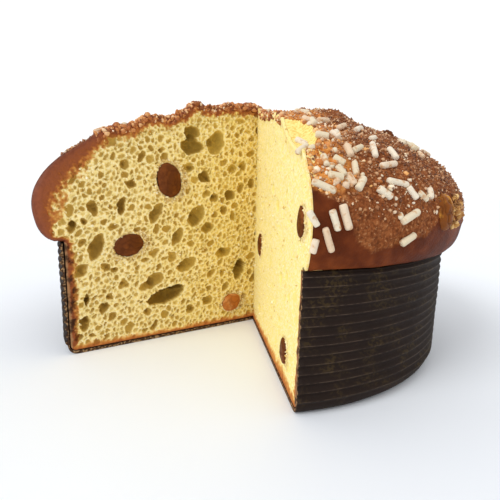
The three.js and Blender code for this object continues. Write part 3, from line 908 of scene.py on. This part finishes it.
def crust_frames(angle, steep, turn):
    """For things on the crust: x round the cake, y up the slope, z outwards, turned about z"""
    out = crust_normal(angle, steep)
    flat = np.radians(angle)
    around = np.stack([-np.sin(flat), np.cos(flat), np.zeros_like(flat)], -1)
    slope = np.cross(out, around)
    across = np.cross(slope, out)
    cos, sin = np.cos(np.radians(turn))[:, None], np.sin(np.radians(turn))[:, None]
    return np.stack([across * cos + slope * sin, slope * cos - across * sin, out], -1)


def make_nibs():
    angle, steep, length, lean = (np.array(column, float) for column in zip(*nib_places()))
    rod = bmesh.new()
    bmesh.ops.create_uvsphere(rod, u_segments=12, v_segments=10, radius=1)
    corners = coordinates(rod)
    middle_away = np.maximum(np.hypot(corners[:, 0], corners[:, 1]), 1e-6)
    girth = (1 - np.abs(corners[:, 2]) ** 5) ** 0.25 / middle_away
    blunt = np.sign(corners[:, 2]) * np.abs(corners[:, 2]) ** 0.4
    place_vertices(rod, np.stack([corners[:, 0] * girth, blunt, corners[:, 1] * girth], -1))
    bmesh.ops.triangulate(rod, faces=rod.faces)
    spots, _, _ = crust_points(angle, steep)
    random = np.random.default_rng(12)
    radius = NIB_WIDTH / 2 * random.uniform(0.76, 0.94, len(angle))
    places = spots + crust_normal(angle, steep) * (0.35 * radius)[:, None]
    sizes = np.stack([radius, length / 2, radius], -1)
    turns = crust_frames(angle, steep, lean) * sizes[:, None, :]
    return scattered("sugar_nibs", rod, places, turns, random.random(len(angle)), 0.14)


def radii(random, count, least, spread, power):
    return least + spread * random.random(count) ** power


def small_lumps(name, random, places, frames, radius, uneven, fineness, shake, dull=1.0):
    """Irregular lumps; frames(share) gives their directions after a share of a turn, uneven the
    least and most of their stretch, and dull how few are pale"""
    lump = bmesh.new()
    if fineness:
        bmesh.ops.create_icosphere(lump, subdivisions=fineness, radius=1)
    else:
        bmesh.ops.create_uvsphere(lump, u_segments=4, v_segments=2, radius=1.15)
    sizes = radius[:, None] * random.uniform(*uneven, (len(radius), 3))
    turns = frames(random.random(len(radius))) * sizes[:, None, :]
    return scattered(name, lump, places, turns, random.random(len(radius)) ** dull, shake)


def baked_lumps(name, random, angle, steep, radius, lift, fineness=1, shake=0.0, dull=1.0):
    """Lumps on the crust, each lifted by a share of its radius"""

    def frames(share):
        return crust_frames(angle, steep, 360 * share)

    places, _, _ = crust_points(angle, steep)
    places = places + crust_normal(angle, steep) * (lift * radius)[:, None]
    return small_lumps(name, random, places, frames, radius, (0.7, 1.4), fineness, shake, dull)


def over_crust(random, count):
    """Spots strewn over the upper crust, closer where it is steep: angle and steepness"""
    turn = np.radians(RIGHT_CUT_ANGLE - 360 + TURN_ROUND * random.random(count))
    direction = np.stack([np.cos(turn), np.sin(turn)], -1)
    start = np.broadcast_to(CUT_CORNER + (0, 2.5), (count, 2))
    _, reach = crust_ray(start, direction, np.zeros(count))
    outward = np.where(random.random(count) < 0.6, 0.5, 0.2)
    return crust_over(start + direction * (reach * random.random(count) ** outward)[:, None])


def make_grains():
    """Grains of sugar and almond baked into the glaze"""
    random = np.random.default_rng(14)
    angle, steep = over_crust(random, GRAIN_DRAWS)
    places, cover, _ = crust_points(angle, steep)
    kept = (cover > 0.6) & (random.random(len(angle)) < 0.75 + 0.5 * lumps(places, 9, 71))
    angle, steep = angle[kept], steep[kept]
    radius = radii(random, len(angle), *GRAIN_RADII)
    pale = np.where(amber_share(places[kept]) > 0.4, 0.45, 1)
    return baked_lumps("glaze_grains", random, angle, steep, radius, 0.15, 0, 0, pale)


def make_crystals():
    """Coarse orange lumps where the glaze is thickest"""
    random = np.random.default_rng(15)
    angle, steep = over_crust(random, CRYSTAL_DRAWS)
    places, cover, _ = crust_points(angle, steep)
    chance = 1.2 * amber_share(places) - 0.25 + 0.5 * lumps(places, 7, 72)
    kept = (cover > 0.7) & (random.random(len(angle)) < chance)
    angle, steep = angle[kept], steep[kept]
    radius = radii(random, len(angle), *CRYSTAL_RADII)
    return baked_lumps("glaze_crystals", random, angle, steep, radius, -0.3, 1, 0.7)


def make_edge_crumbs():
    """Crumbly lumps of crust along the top edges of the cuts, the foremost on the cut itself"""
    random = np.random.default_rng(18)
    angle, steep, front = [], [], []
    for side, count, first, last in EDGE_CRUMBS:
        behind = 4 * random.random(count) - 0.3
        place = upper_crust(side, random.uniform(first, last, count), behind)
        angle.append(place[0])
        steep.append(place[1])
        front.append(behind < 0.8)
    angle, steep, front = np.concatenate(angle), np.concatenate(steep), np.concatenate(front)
    places, cover, _ = crust_points(angle, steep)
    kept = (cover > 0.5) & (random.random(len(angle)) < 0.8 + 0.6 * lumps(places, 6, 73))
    angle, steep, front = angle[kept], steep[kept], front[kept]
    radius = radii(random, len(angle), *EDGE_CRUMB_RADII)
    sunk = -random.uniform(0, 3, len(angle)) / radius
    lift = np.where(front, sunk, random.uniform(-0.5, 0.4, len(angle)))
    whiter = places[kept, 0] < PALE_EDGE
    pale = np.where(whiter, 0.35, 1)
    lift = lift - np.where(whiter, 0.9, 0)
    return baked_lumps("edge_crumbs", random, angle, steep, radius, lift, 2, 0.6, pale)


def make_crumb_bits(face, side, count):
    """Loose bits of crumb on a cut face, closest round its fruit"""
    random = np.random.default_rng(35 if side == "left" else 36)
    mesh = face.data
    spots = np.empty(len(mesh.vertices) * 3)
    mesh.vertices.foreach_get("co", spots)
    spots = spots.reshape(-1, 3) / MM
    values = {}
    for key in ("bake", "stain", "hollow"):
        values[key] = np.empty(len(spots))
        mesh.attributes[key].data.foreach_get("value", values[key])
    along, upward, opening = face_directions(side)
    _, behind = from_cut(side, spots)
    chance = (0.12 + 1.2 * (values["stain"] > 0.15)) * (values["bake"] < 0.15) * (behind < 5)
    chance = chance * np.where((values["hollow"] < 0.72) | (values["stain"] > 0.15), 1, 0.03)
    chosen = random.choice(len(spots), count, replace=False, p=chance / chance.sum())
    radius = radii(random, count, *CRUMB_BIT_RADII)

    def frames(share):
        cos, sin = np.cos(np.pi * share), np.sin(np.pi * share)
        x = np.outer(cos, along) + np.outer(sin, upward)
        y = np.outer(cos, upward) - np.outer(sin, along)
        return np.stack([x, y, np.broadcast_to(opening, x.shape)], -1)

    return small_lumps(f"crumb_bits_{side}", random, spots[chosen], frames, radius, (0.6, 1.5), 1, 0.5)


def make_sugar_crumbs():
    """Splinters of the nibs, lying near them"""
    random = np.random.default_rng(19)
    nibs = np.array([place[:2] for place in nib_places()])
    near = nibs[random.integers(0, len(nibs), SUGAR_CRUMBS)]
    angle = near[:, 0] + random.normal(0, 2.6, SUGAR_CRUMBS)
    steep = np.clip(near[:, 1] + random.normal(0, 0.045, SUGAR_CRUMBS), 0.05, 1.5)
    spots, cover, _ = crust_points(angle, steep)
    kept = np.array([not in_slice(spot) and past_cut(spot) > 1.2 for spot in spots]) & (cover > 0.5)
    angle, steep = angle[kept], steep[kept]
    radius = radii(random, len(angle), *SUGAR_CRUMB_RADII)
    return baked_lumps("sugar_crumbs", random, angle, steep, radius, 0, 2, 0.6)


def make_flakes():
    """Each flake is a cluster of crumbly bits"""
    random = np.random.default_rng(16)
    angle, up, radius = (np.repeat(np.array(column, float), FLAKE_BITS) for column in zip(*FLAKES))
    steep = np.array([steep_at_height(height) for height in up])
    spots, _, _ = crust_points(angle, steep)
    count = len(angle)
    direction = random.normal(size=(count, 3))
    direction /= np.linalg.norm(direction, axis=1, keepdims=True)
    bit = radii(random, count, *FLAKE_BIT_RADII)
    places = spots + direction * ((radius - bit) * random.random(count) ** 0.4)[:, None]

    def frames(share):
        return crust_frames(angle, steep, 360 * share)

    return small_lumps("crust_flakes", random, places, frames, bit, (0.6, 1.5), 2, 0.5)


# Fruit

def make_fruit(name, seed, frame_matrix, spot, width, height, thickness, wrinkle, front):
    """A wrinkled raisin or lump of peel, its front flattened by a share"""
    bm = bmesh.new()
    bmesh.ops.create_icosphere(bm, subdivisions=5, radius=1)
    ball = coordinates(bm)
    half = np.array([width, height, thickness]) / 2
    body = ball * half
    fold = lumps(body, 4.2, seed, 2)
    # crease: the lines that are inset, which the fruit finish also paints darker as shade
    crease = np.exp(-((fold / 0.12) ** 2))
    swell = 0.1 * lumps(body, 6, seed + 3) + 0.03 * lumps(body, 2.2, seed + 4) - 0.01
    inset = wrinkle * crease + 0.1 * np.abs(lumps(body, 1.3, seed + 5))
    shaped = body * (1 + swell)[:, None] - ball * inset[:, None]
    shaped[:, 2] *= np.where(shaped[:, 2] > 0, front, 1)
    place_vertices(bm, np.array(spot) + shaped @ np.array(frame_matrix).T)
    mark(bm, crease=crease)
    return finish_piece(bm, name.replace("raisin", "wrinkled_raisin").replace("peel", "candied_peel"))


def face_fruit(side):
    along, upward, opening = face_directions(side)
    _, rightward = FACES[side]
    pieces = []
    for index, (name, out, up, width, height, thickness, lean, behind) in enumerate(FRUIT[side]):
        spot = np.array([*CUT_CORNER, up]) + along * out - opening * behind
        matrix = np.stack([*turned(along * rightward, upward, math.radians(lean)), opening], -1)
        piece = make_fruit(name, 80 + 10 * index, matrix, spot, width, height, thickness, 0.12, CUT_FRONT)
        pieces.append((piece, name))
    return pieces


def crust_fruit():
    pieces = []
    for index, (name, angle, up, width, height, thickness, sink) in enumerate(CRUST_FRUIT):
        steep = np.array([steep_at_height(up)])
        angles = np.array([float(angle)])
        matrix = crust_frames(angles, steep, np.zeros(1))[0]
        smooth = smooth_crust(angles, steep)
        spot = smooth + crust_normal(angles, steep) * (crag_height(smooth) - sink)
        piece = make_fruit(name, 120 + 10 * index, matrix, spot[0], width, height, thickness, 0.6, 1)
        pieces.append((piece, name))
    return pieces


# Paper case

def case_profile():
    """Section of the case as (distance from the axis, height, share of a rib) points"""
    trough = CASE_RADIUS - RIB_DEPTH
    inner = trough - PAPER
    pitch = (CASE_HEIGHT - CORNER_RADIUS) / RIB_COUNT
    corner = np.linspace(0, math.pi / 2, 6)
    points = [(0, 0, 0)]
    for t in corner:
        points.append((trough - CORNER_RADIUS * (1 - math.sin(t)), CORNER_RADIUS * (1 - math.cos(t)), 0))
    for i in range(RIB_COUNT * RIB_POINTS):
        share = (i + 1) / RIB_POINTS
        rib = (0.5 - 0.5 * math.cos(2 * math.pi * share)) ** 1.6
        points.append((trough + RIB_DEPTH * rib, CORNER_RADIUS + pitch * share, rib))
    points += [(inner, CASE_HEIGHT, 0), (inner, CASE_HEIGHT / 2, 0)]
    for t in corner[::-1]:
        rise = INNER_CORNER_RADIUS * (1 - math.cos(t))
        points.append((inner - INNER_CORNER_RADIUS * (1 - math.sin(t)), BASE_THICKNESS + rise, 0))
    points.append((0, BASE_THICKNESS, 0))
    return points


def make_case():
    bm = bmesh.new()
    # rib: share of a rib crest, where the paper finish paints a highlight
    rib_layer = bm.verts.layers.float.new("rib")
    turn = math.radians(RIGHT_CUT_ANGLE)
    centre = Vector((*CUT_CORNER, 0))
    ring = []
    for radius, height, rib in case_profile():
        vertex = bm.verts.new(centre + Vector((radius * math.cos(turn), radius * math.sin(turn), height)))
        vertex[rib_layer] = rib
        ring.append(vertex)
    edges = [bm.edges.new((a, b)) for a, b in zip(ring, ring[1:] + ring[:1])]
    bmesh.ops.spin(
        bm,
        geom=ring + edges,
        cent=centre,
        axis=(0, 0, 1),
        angle=math.radians(TURN_ROUND),
        steps=CASE_TURNS,
        use_merge=False,
        use_duplicate=False,
    )
    bmesh.ops.remove_doubles(bm, verts=bm.verts, dist=0.001)
    spots = coordinates(bm)
    away = spots[:, :2] - CUT_CORNER
    radius = np.hypot(away[:, 0], away[:, 1])
    direction = away / np.maximum(radius, 1e-6)[:, None]
    start = np.broadcast_to(CUT_CORNER, direction.shape)
    sway = 0.3 * lumps(np.column_stack([direction * 30, spots[:, 2] / 3]), 9, 91)
    reach = np.where(radius > 10, radius_along(start, direction, radius + sway), 0)
    edge = smoothstep(CASE_HEIGHT - 6, CASE_HEIGHT, spots[:, 2])
    lift = -0.5 * np.abs(lumps(np.column_stack([direction * 40, 0 * edge]), 6, 92)) * edge
    place_vertices(bm, np.column_stack([start + direction * reach[:, None], spots[:, 2] + lift]))
    for end in (RIGHT_CUT_ANGLE - 360, RIGHT_CUT_ANGLE - 360 + TURN_ROUND):
        rim = [e for e in bm.edges if (e.is_boundary or e.is_wire) and on_ray(e, end)]
        bmesh.ops.edgeloop_fill(bm, edges=rim, mat_nr=1)
    piece = finish_piece(bm, "fluted_paper")
    for polygon in piece.data.polygons:
        polygon.use_smooth = polygon.material_index == 0
    return piece


def on_ray(edge, angle):
    """Does an edge lie on the cut that leaves the corner at an angle"""
    turn = math.radians(angle)
    for vertex in edge.verts:
        x, y = vertex.co.x - CUT_CORNER[0], vertex.co.y - CUT_CORNER[1]
        if abs(x * math.sin(turn) - y * math.cos(turn)) > 0.01:
            return False
    return True


# Finishes

def paint(red, green, blue):
    """A colour as an artist mixes it, 0 to 255, turned into light"""
    def channel(value):
        value /= 255
        return value / 12.92 if value <= 0.04045 else ((value + 0.055) / 1.055) ** 2.4
    return (channel(red), channel(green), channel(blue), 1.0)


class Link:
    """A socket that works in Python expressions"""

    def __init__(self, finish, socket):
        self.finish = finish
        self.socket = socket

    def maths(self, operation, *values):
        return self.finish.node("Math", {"operation": operation}, dict(enumerate(values)))

    def __add__(self, other):
        return self.maths("ADD", self, other)

    def __sub__(self, other):
        return self.maths("SUBTRACT", self, other)

    def __rsub__(self, other):
        return self.maths("SUBTRACT", other, self)

    def __mul__(self, other):
        return self.maths("MULTIPLY", self, other)

    __radd__ = __add__
    __rmul__ = __mul__


class Finish:
    """One material: its nodes and its shader"""

    def __init__(self, name, specular):
        self.material = bpy.data.materials.new(name)
        self.material.use_nodes = True
        self.tree = self.material.node_tree
        self.shader = self.tree.nodes["Principled BSDF"]
        self.shader.inputs["Specular IOR Level"].default_value = specular

    def node(self, kind, settings=None, inputs=None, output=0):
        node = self.tree.nodes.new("ShaderNode" + kind)
        for key, value in (settings or {}).items():
            if key == "stops":
                self.set_stops(node.color_ramp, value)
            else:
                setattr(node, key, value)
        for key, value in (inputs or {}).items():
            self.feed(node.inputs[key], value)
        return Link(self, node.outputs[output])

    def set_stops(self, ramp, stops):
        while len(ramp.elements) < len(stops):
            ramp.elements.new(0.5)
        for element, (position, color) in zip(ramp.elements, stops):
            element.position = position
            element.color = paint(*color)

    def feed(self, socket, value):
        if isinstance(value, Link):
            self.tree.links.new(value.socket, socket)
        else:
            socket.default_value = paint(*value) if isinstance(value, tuple) else value

    def attributes(self, *names):
        return [self.node("Attribute", {"attribute_name": name}, output="Fac") for name in names]

    def place(self):
        return self.node("TexCoord", output="Object")

    def noise(self, size, detail=3.0):
        """Noise from 0 to 1 with lumps of a size in mm"""
        inputs = {"Vector": self.place(), "Scale": 1 / (size * MM), "Detail": detail}
        return self.node("TexNoise", None, inputs)

    def grains(self, size):
        """Distance to scattered middles, from 0 to about 1"""
        inputs = {"Vector": self.place(), "Scale": 1 / (size * MM)}
        return self.node("TexVoronoi", None, inputs, "Distance")

    def steps(self, value, low, high):
        """0 below low, 1 above high, smooth between"""
        settings = {"interpolation_type": "SMOOTHSTEP"}
        inputs = {"Value": value, "From Min": low, "From Max": high}
        return self.node("MapRange", settings, inputs)

    def ramp(self, value, stops):
        return self.node("ValToRGB", {"stops": stops}, {"Fac": value})

    def mix(self, first, second, factor):
        inputs = {0: factor, 6: first, 7: second}
        return self.node("Mix", {"data_type": "RGBA"}, inputs, output=2)

    def done(self, color, roughness, height=None, distance=1.0, strength=0.5):
        """Feeds the shader and gives the material; height is a relief of up to `distance` mm"""
        self.feed(self.shader.inputs["Base Color"], color)
        self.feed(self.shader.inputs["Roughness"], roughness)
        if height:
            relief = {"Height": height, "Distance": distance * MM, "Strength": strength}
            self.feed(self.shader.inputs["Normal"], self.node("Bump", None, relief))
        return self.material


CRUMB_BROWNING = [
    (0.0, (236, 194, 104)), (0.2, (220, 160, 80)), (0.38, (184, 112, 54)),
    (0.5, (150, 82, 44)), (0.8, (142, 76, 46)), (1.0, (112, 56, 32)),
]


def crumb_finish(name, ridge, valley, deep):
    finish = Finish(name, 0.2)
    hollow, bake, scorch = finish.attributes("hollow", "bake", "scorch")
    stain, torn, warm = finish.attributes("stain", "torn", "warm")
    mix, steps = finish.mix, finish.steps
    cloud = finish.noise(14, 2)
    fine = finish.noise(0.9)
    speck = finish.noise(2.2)
    # Painted shade: the ridge colour turns to the darker valley and deep colours the deeper a bubble is,
    # partly the bubble skin's own deeper yellow
    shade = steps(hollow + 0.45 * (fine - 0.5) + 0.3 * (cloud - 0.5), 0.08, 0.78)
    crumb = mix(ridge, valley, shade)
    crumb = mix(crumb, deep, steps(hollow, 0.8, 1.0) * 0.8)
    # Painted bounce light: a warmer yellow near the corner of the left face, fainter in the hollows
    crumb = mix(crumb, (255, 222, 96), warm * (1 - 0.5 * shade) * 0.45)
    # Painted highlight: pale cream on the ridges between the bubbles, broken up by noise
    crumb = mix(crumb, (255, 244, 206), steps(fine - 0.6 * hollow, 0.4, 0.62) * 0.65)
    # Painted shade: a darker yellow where the crust is torn away beside the cut
    crumb = mix(crumb, (228, 190, 104), torn * steps(fine, 0.4, 0.65) * 0.4)
    spotted = mix((164, 116, 74), (232, 202, 158), steps(fine, 0.4, 0.6))
    crumb = mix(crumb, spotted, stain * 0.5)
    toast = finish.ramp(bake + 0.3 * (speck - 0.5) * steps(bake, 0.02, 0.3), CRUMB_BROWNING)
    # Painted shade: darker brown in the hollows of the browned band
    toast = mix(toast, (104, 54, 24), steps(hollow * bake, 0.05, 0.4) * 0.8)
    crumb = mix(crumb, toast, steps(bake + 0.2 * (speck - 0.5), 0.03, 0.3))
    liner = steps(scorch + 0.2 * (fine - 0.5), 0.74, 0.86)
    crumb = mix(crumb, (172, 132, 90), liner * 0.7)
    blotch = steps(finish.noise(4), 0.45, 0.6) * steps(scorch, 0.15, 0.6)
    color = mix(crumb, (48, 28, 18), blotch * 0.85)
    return finish.done(color, 0.9 - 0.35 * steps(bake, 0.4, 0.9), fine + 0.5 * finish.noise(0.35, 2), 0.2)


BARE_COLORS = [(0.3, (66, 29, 13)), (0.48, (96, 43, 19)), (0.7, (136, 68, 31))]
BROWN_COLORS = [
    (0.28, (80, 42, 21)), (0.46, (134, 74, 39)), (0.62, (168, 104, 60)), (0.8, (206, 152, 102)),
]
ORANGE_COLORS = [
    (0.28, (140, 72, 26)), (0.46, (206, 124, 52)), (0.64, (232, 166, 92)), (0.8, (248, 214, 160)),
]


def crust_finish():
    finish = Finish("baked_crust", 0.05)
    glaze, torn, amber = finish.attributes("glaze", "torn", "amber")
    mix, steps = finish.mix, finish.steps
    patch = finish.noise(5)
    fine = finish.noise(1.2)
    sand = finish.noise(0.9, 2)
    grain = finish.grains(1.1)
    bare = finish.ramp(finish.noise(22) * 0.6 + patch * 0.4, BARE_COLORS)
    bare = mix(bare, (176, 104, 50), steps(amber, 0.75, 1.0) * 0.7)
    brown = finish.ramp(patch * 0.35 + fine * 0.35 + sand * 0.3, BROWN_COLORS)
    brown = mix(brown, (96, 50, 26), steps(grain, 0.45, 0.8) * 0.55)
    # Painted highlight: pale specks on the sandy glaze
    brown = mix(brown, (214, 164, 116), steps(sand, 0.6, 0.7) * 0.45)
    orange = finish.ramp(patch * 0.4 + fine * 0.6, ORANGE_COLORS)
    top = mix(brown, orange, steps(amber + 0.7 * (patch - 0.5), 0.3, 0.9))
    # Crumb showing in the tear: its own yellow, painted darker as shade in the tear
    crumb = mix((230, 190, 96), (250, 226, 144), steps(fine, 0.3, 0.6))
    color = mix(mix(bare, top, glaze), crumb, steps(torn, 0.55, 0.95))
    relief = fine * 0.6 + (1 - grain) * glaze + finish.noise(0.4, 2) * 0.3
    roughness = 0.5 + 0.25 * glaze * fine + 0.35 * torn
    return finish.done(color, roughness, relief * (1 - 0.95 * torn), 0.6, 0.8)


def sugar_finish():
    finish = Finish("pearl_sugar", 0.35)
    [tint] = finish.attributes("tint")
    fine = finish.noise(0.8)
    color = finish.mix((222, 206, 174), (240, 230, 212), tint)
    color = finish.mix(color, (214, 174, 128), finish.steps(tint, 0.7, 0.85) * 0.6)
    color = finish.mix(color, (200, 150, 100), finish.steps(finish.noise(2.4), 0.52, 0.72))
    return finish.done(color, 0.5 + 0.3 * fine, fine, 0.3, 0.6)


def grain_finish(name, roughness, stops):
    """Baked grains and lumps, each with a shade of its own"""
    finish = Finish(name, 0.4)
    [tint] = finish.attributes("tint")
    color = finish.ramp(tint * 0.75 + finish.noise(1.6, 2) * 0.25, stops)
    return finish.done(color, roughness - 0.1 + 0.25 * finish.noise(1.5, 2), finish.noise(0.3, 2), 0.1)


GRAIN_COLORS = [
    (0.1, (88, 48, 26)), (0.35, (138, 84, 48)), (0.62, (176, 120, 76)),
    (0.8, (214, 168, 124)), (0.9, (240, 222, 194)),
]
CRYSTAL_COLORS = [
    (0.1, (150, 78, 28)), (0.35, (208, 126, 52)), (0.6, (232, 162, 84)),
    (0.78, (246, 200, 136)), (0.88, (252, 232, 204)),
]
EDGE_COLORS = [
    (0.1, (120, 64, 28)), (0.4, (176, 102, 50)), (0.65, (208, 140, 78)),
    (0.82, (234, 190, 140)), (0.92, (248, 234, 212)),
]
BIT_COLORS = [(0.1, (214, 176, 96)), (0.4, (240, 212, 138)), (0.7, (252, 236, 182)), (0.9, (255, 246, 216))]
FLAKE_COLORS = [(0.1, (120, 76, 36)), (0.4, (176, 122, 60)), (0.7, (210, 160, 88)), (0.9, (236, 200, 136))]


def fruit_finish(name, skin, crease, glow, gloss=0.14):
    finish = Finish(name, gloss)
    [fold] = finish.attributes("crease")
    fine = finish.noise(0.7)
    body = finish.mix(skin, glow, finish.steps(finish.noise(5), 0.45, 0.75))
    # Painted shade: the crease colour darkens the creases
    return finish.done(finish.mix(body, crease, fold * 0.4), 0.3 + 0.3 * fine + 0.2 * fold, fine, 0.2)


def paper_finish():
    finish = Finish("dark_baking_paper", 0.15)
    [rib] = finish.attributes("rib")
    patch = finish.noise(16)
    fine = finish.noise(1.6, 4)
    plain = finish.mix((29, 19, 14), (41, 28, 21), patch)
    spotted = finish.steps(finish.noise(11, 4), 0.48, 0.64) * finish.steps(finish.noise(1.3), 0.46, 0.6)
    oily = finish.mix(plain, (96, 78, 40), spotted * 0.28)
    # Painted highlight: thin broken lighter lines along the rib crests
    crest_highlight = finish.steps(rib, 0.9, 1.0) * finish.steps(fine * 0.6 + patch * 0.4, 0.38, 0.62)
    color = finish.mix(oily, (110, 92, 76), crest_highlight * 0.6)
    return finish.done(color, 0.55 + 0.25 * fine, fine + finish.noise(0.4, 2) * 0.5, 0.12)


def cut_paper_finish():
    finish = Finish("cut_paper_edge", 0.1)
    wave = finish.noise(1.1)
    dark = finish.mix((54, 36, 26), (84, 58, 40), finish.noise(7, 2))
    color = finish.mix(dark, (176, 142, 104), finish.steps(wave, 0.48, 0.62) * 0.8)
    return finish.done(color, 0.8, wave, 0.3, 0.6)


# Stage

def make_camera():
    data = bpy.data.cameras.new("camera")
    data.lens = CAMERA_LENS
    data.sensor_width = SENSOR
    data.clip_start = 0.01
    camera = add_object("camera", data)
    aim = Vector(CAMERA_AIM).normalized()
    level = aim.cross(Vector((0, 0, 1))).normalized()
    above = level.cross(aim)
    right, up = turned(level, above, math.radians(CAMERA_ROLL))
    turn = Matrix((right, up, -aim)).transposed().to_4x4()
    camera.matrix_world = Matrix.Translation(Vector(CAMERA_PLACE) * MM) @ turn
    bpy.context.scene.camera = camera


def make_key_light():
    """A broad soft light from the front left, along the left cut"""
    data = bpy.data.lights.new("key", "SUN")
    data.energy = KEY_POWER
    data.angle = math.radians(KEY_SPREAD)
    turn, rise = math.radians(KEY_TURN), math.radians(KEY_RISE)
    source = Vector((math.cos(turn) * math.cos(rise), math.sin(turn) * math.cos(rise), math.sin(rise)))
    add_object("key", data).rotation_euler = source.to_track_quat("Z", "Y").to_euler()


def make_floor():
    bm = bmesh.new()
    bmesh.ops.create_grid(bm, x_segments=2, y_segments=2, size=FLOOR_REACH)
    floor = finish_piece(bm, "floor")
    finish = Finish("white_table", 0.1)
    color = finish.mix((240, 244, 250), (244, 248, 253), finish.noise(80, 2))
    floor.data.materials.append(finish.done(color, 0.9))


def make_world():
    """White all round: brighter to look at than the light it gives"""
    world = bpy.data.worlds.new("studio")
    world.use_nodes = True
    bpy.context.scene.world = world
    nodes, links = world.node_tree.nodes, world.node_tree.links
    background = nodes["Background"]
    background.inputs["Color"].default_value = (1, 1, 1, 1)
    path = nodes.new("ShaderNodeLightPath")
    strength = nodes.new("ShaderNodeMix")
    strength.inputs["A"].default_value = FILL
    strength.inputs["B"].default_value = WHITE_SEEN
    links.new(path.outputs["Is Camera Ray"], strength.inputs["Factor"])
    links.new(strength.outputs["Result"], background.inputs["Strength"])


def add_piece(piece, material, node):
    piece.data.materials.append(material)
    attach(piece, "root")
    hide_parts(node)


scene = bpy.context.scene
scene.view_settings.view_transform = "Standard"
make_camera()
make_world()
make_floor()
make_key_light()

add_piece(make_crust(), crust_finish(), "cake")
# Ridge, valley and deep colours of each face: the darker two are painted shade in the bubbles
left_crumb = crumb_finish("yellow_crumb", (250, 226, 152), (194, 157, 74), (138, 104, 38))
right_crumb = crumb_finish("lit_crumb", (246, 228, 140), (240, 216, 122), (190, 150, 66))
bit_finish = grain_finish("crumb_bits", 0.8, BIT_COLORS)
for side, foam, holes, bits in CUT_FACES:
    face = make_cut_face(side, foam, holes)
    add_piece(face, left_crumb if side == "left" else right_crumb, "cake")
    add_piece(make_crumb_bits(face, side, bits), bit_finish, "cake")
add_piece(make_nibs(), sugar_finish(), "cake")
add_piece(make_sugar_crumbs(), sugar_finish(), "cake")
add_piece(make_grains(), grain_finish("baked_grains", 0.45, GRAIN_COLORS), "cake")
add_piece(make_crystals(), grain_finish("orange_crystals", 0.35, CRYSTAL_COLORS), "cake")
add_piece(make_edge_crumbs(), grain_finish("crumbled_crust", 0.6, EDGE_COLORS), "cake")
add_piece(make_flakes(), grain_finish("golden_flake", 0.6, FLAKE_COLORS), "cake")
case = make_case()
add_piece(case, paper_finish(), "paper_case")
case.data.materials.append(cut_paper_finish())

# Skin, crease and glow colours: the crease colour is painted shade
raisin_finish = fruit_finish("raisin_skin", (98, 48, 10), (66, 30, 8), (126, 66, 20))
amber_finish = fruit_finish("amber_raisin_skin", (126, 68, 16), (64, 30, 10), (210, 144, 54), 0.15)
peel_finish = fruit_finish("candied_peel", (184, 108, 44), (120, 62, 26), (220, 160, 96))
for piece, node in face_fruit("left") + face_fruit("right") + crust_fruit():
    if node.startswith("peel"):
        add_piece(piece, peel_finish, node)
    elif node == "raisin_crust_side":
        add_piece(piece, amber_finish, node)
    else:
        add_piece(piece, raisin_finish, node)
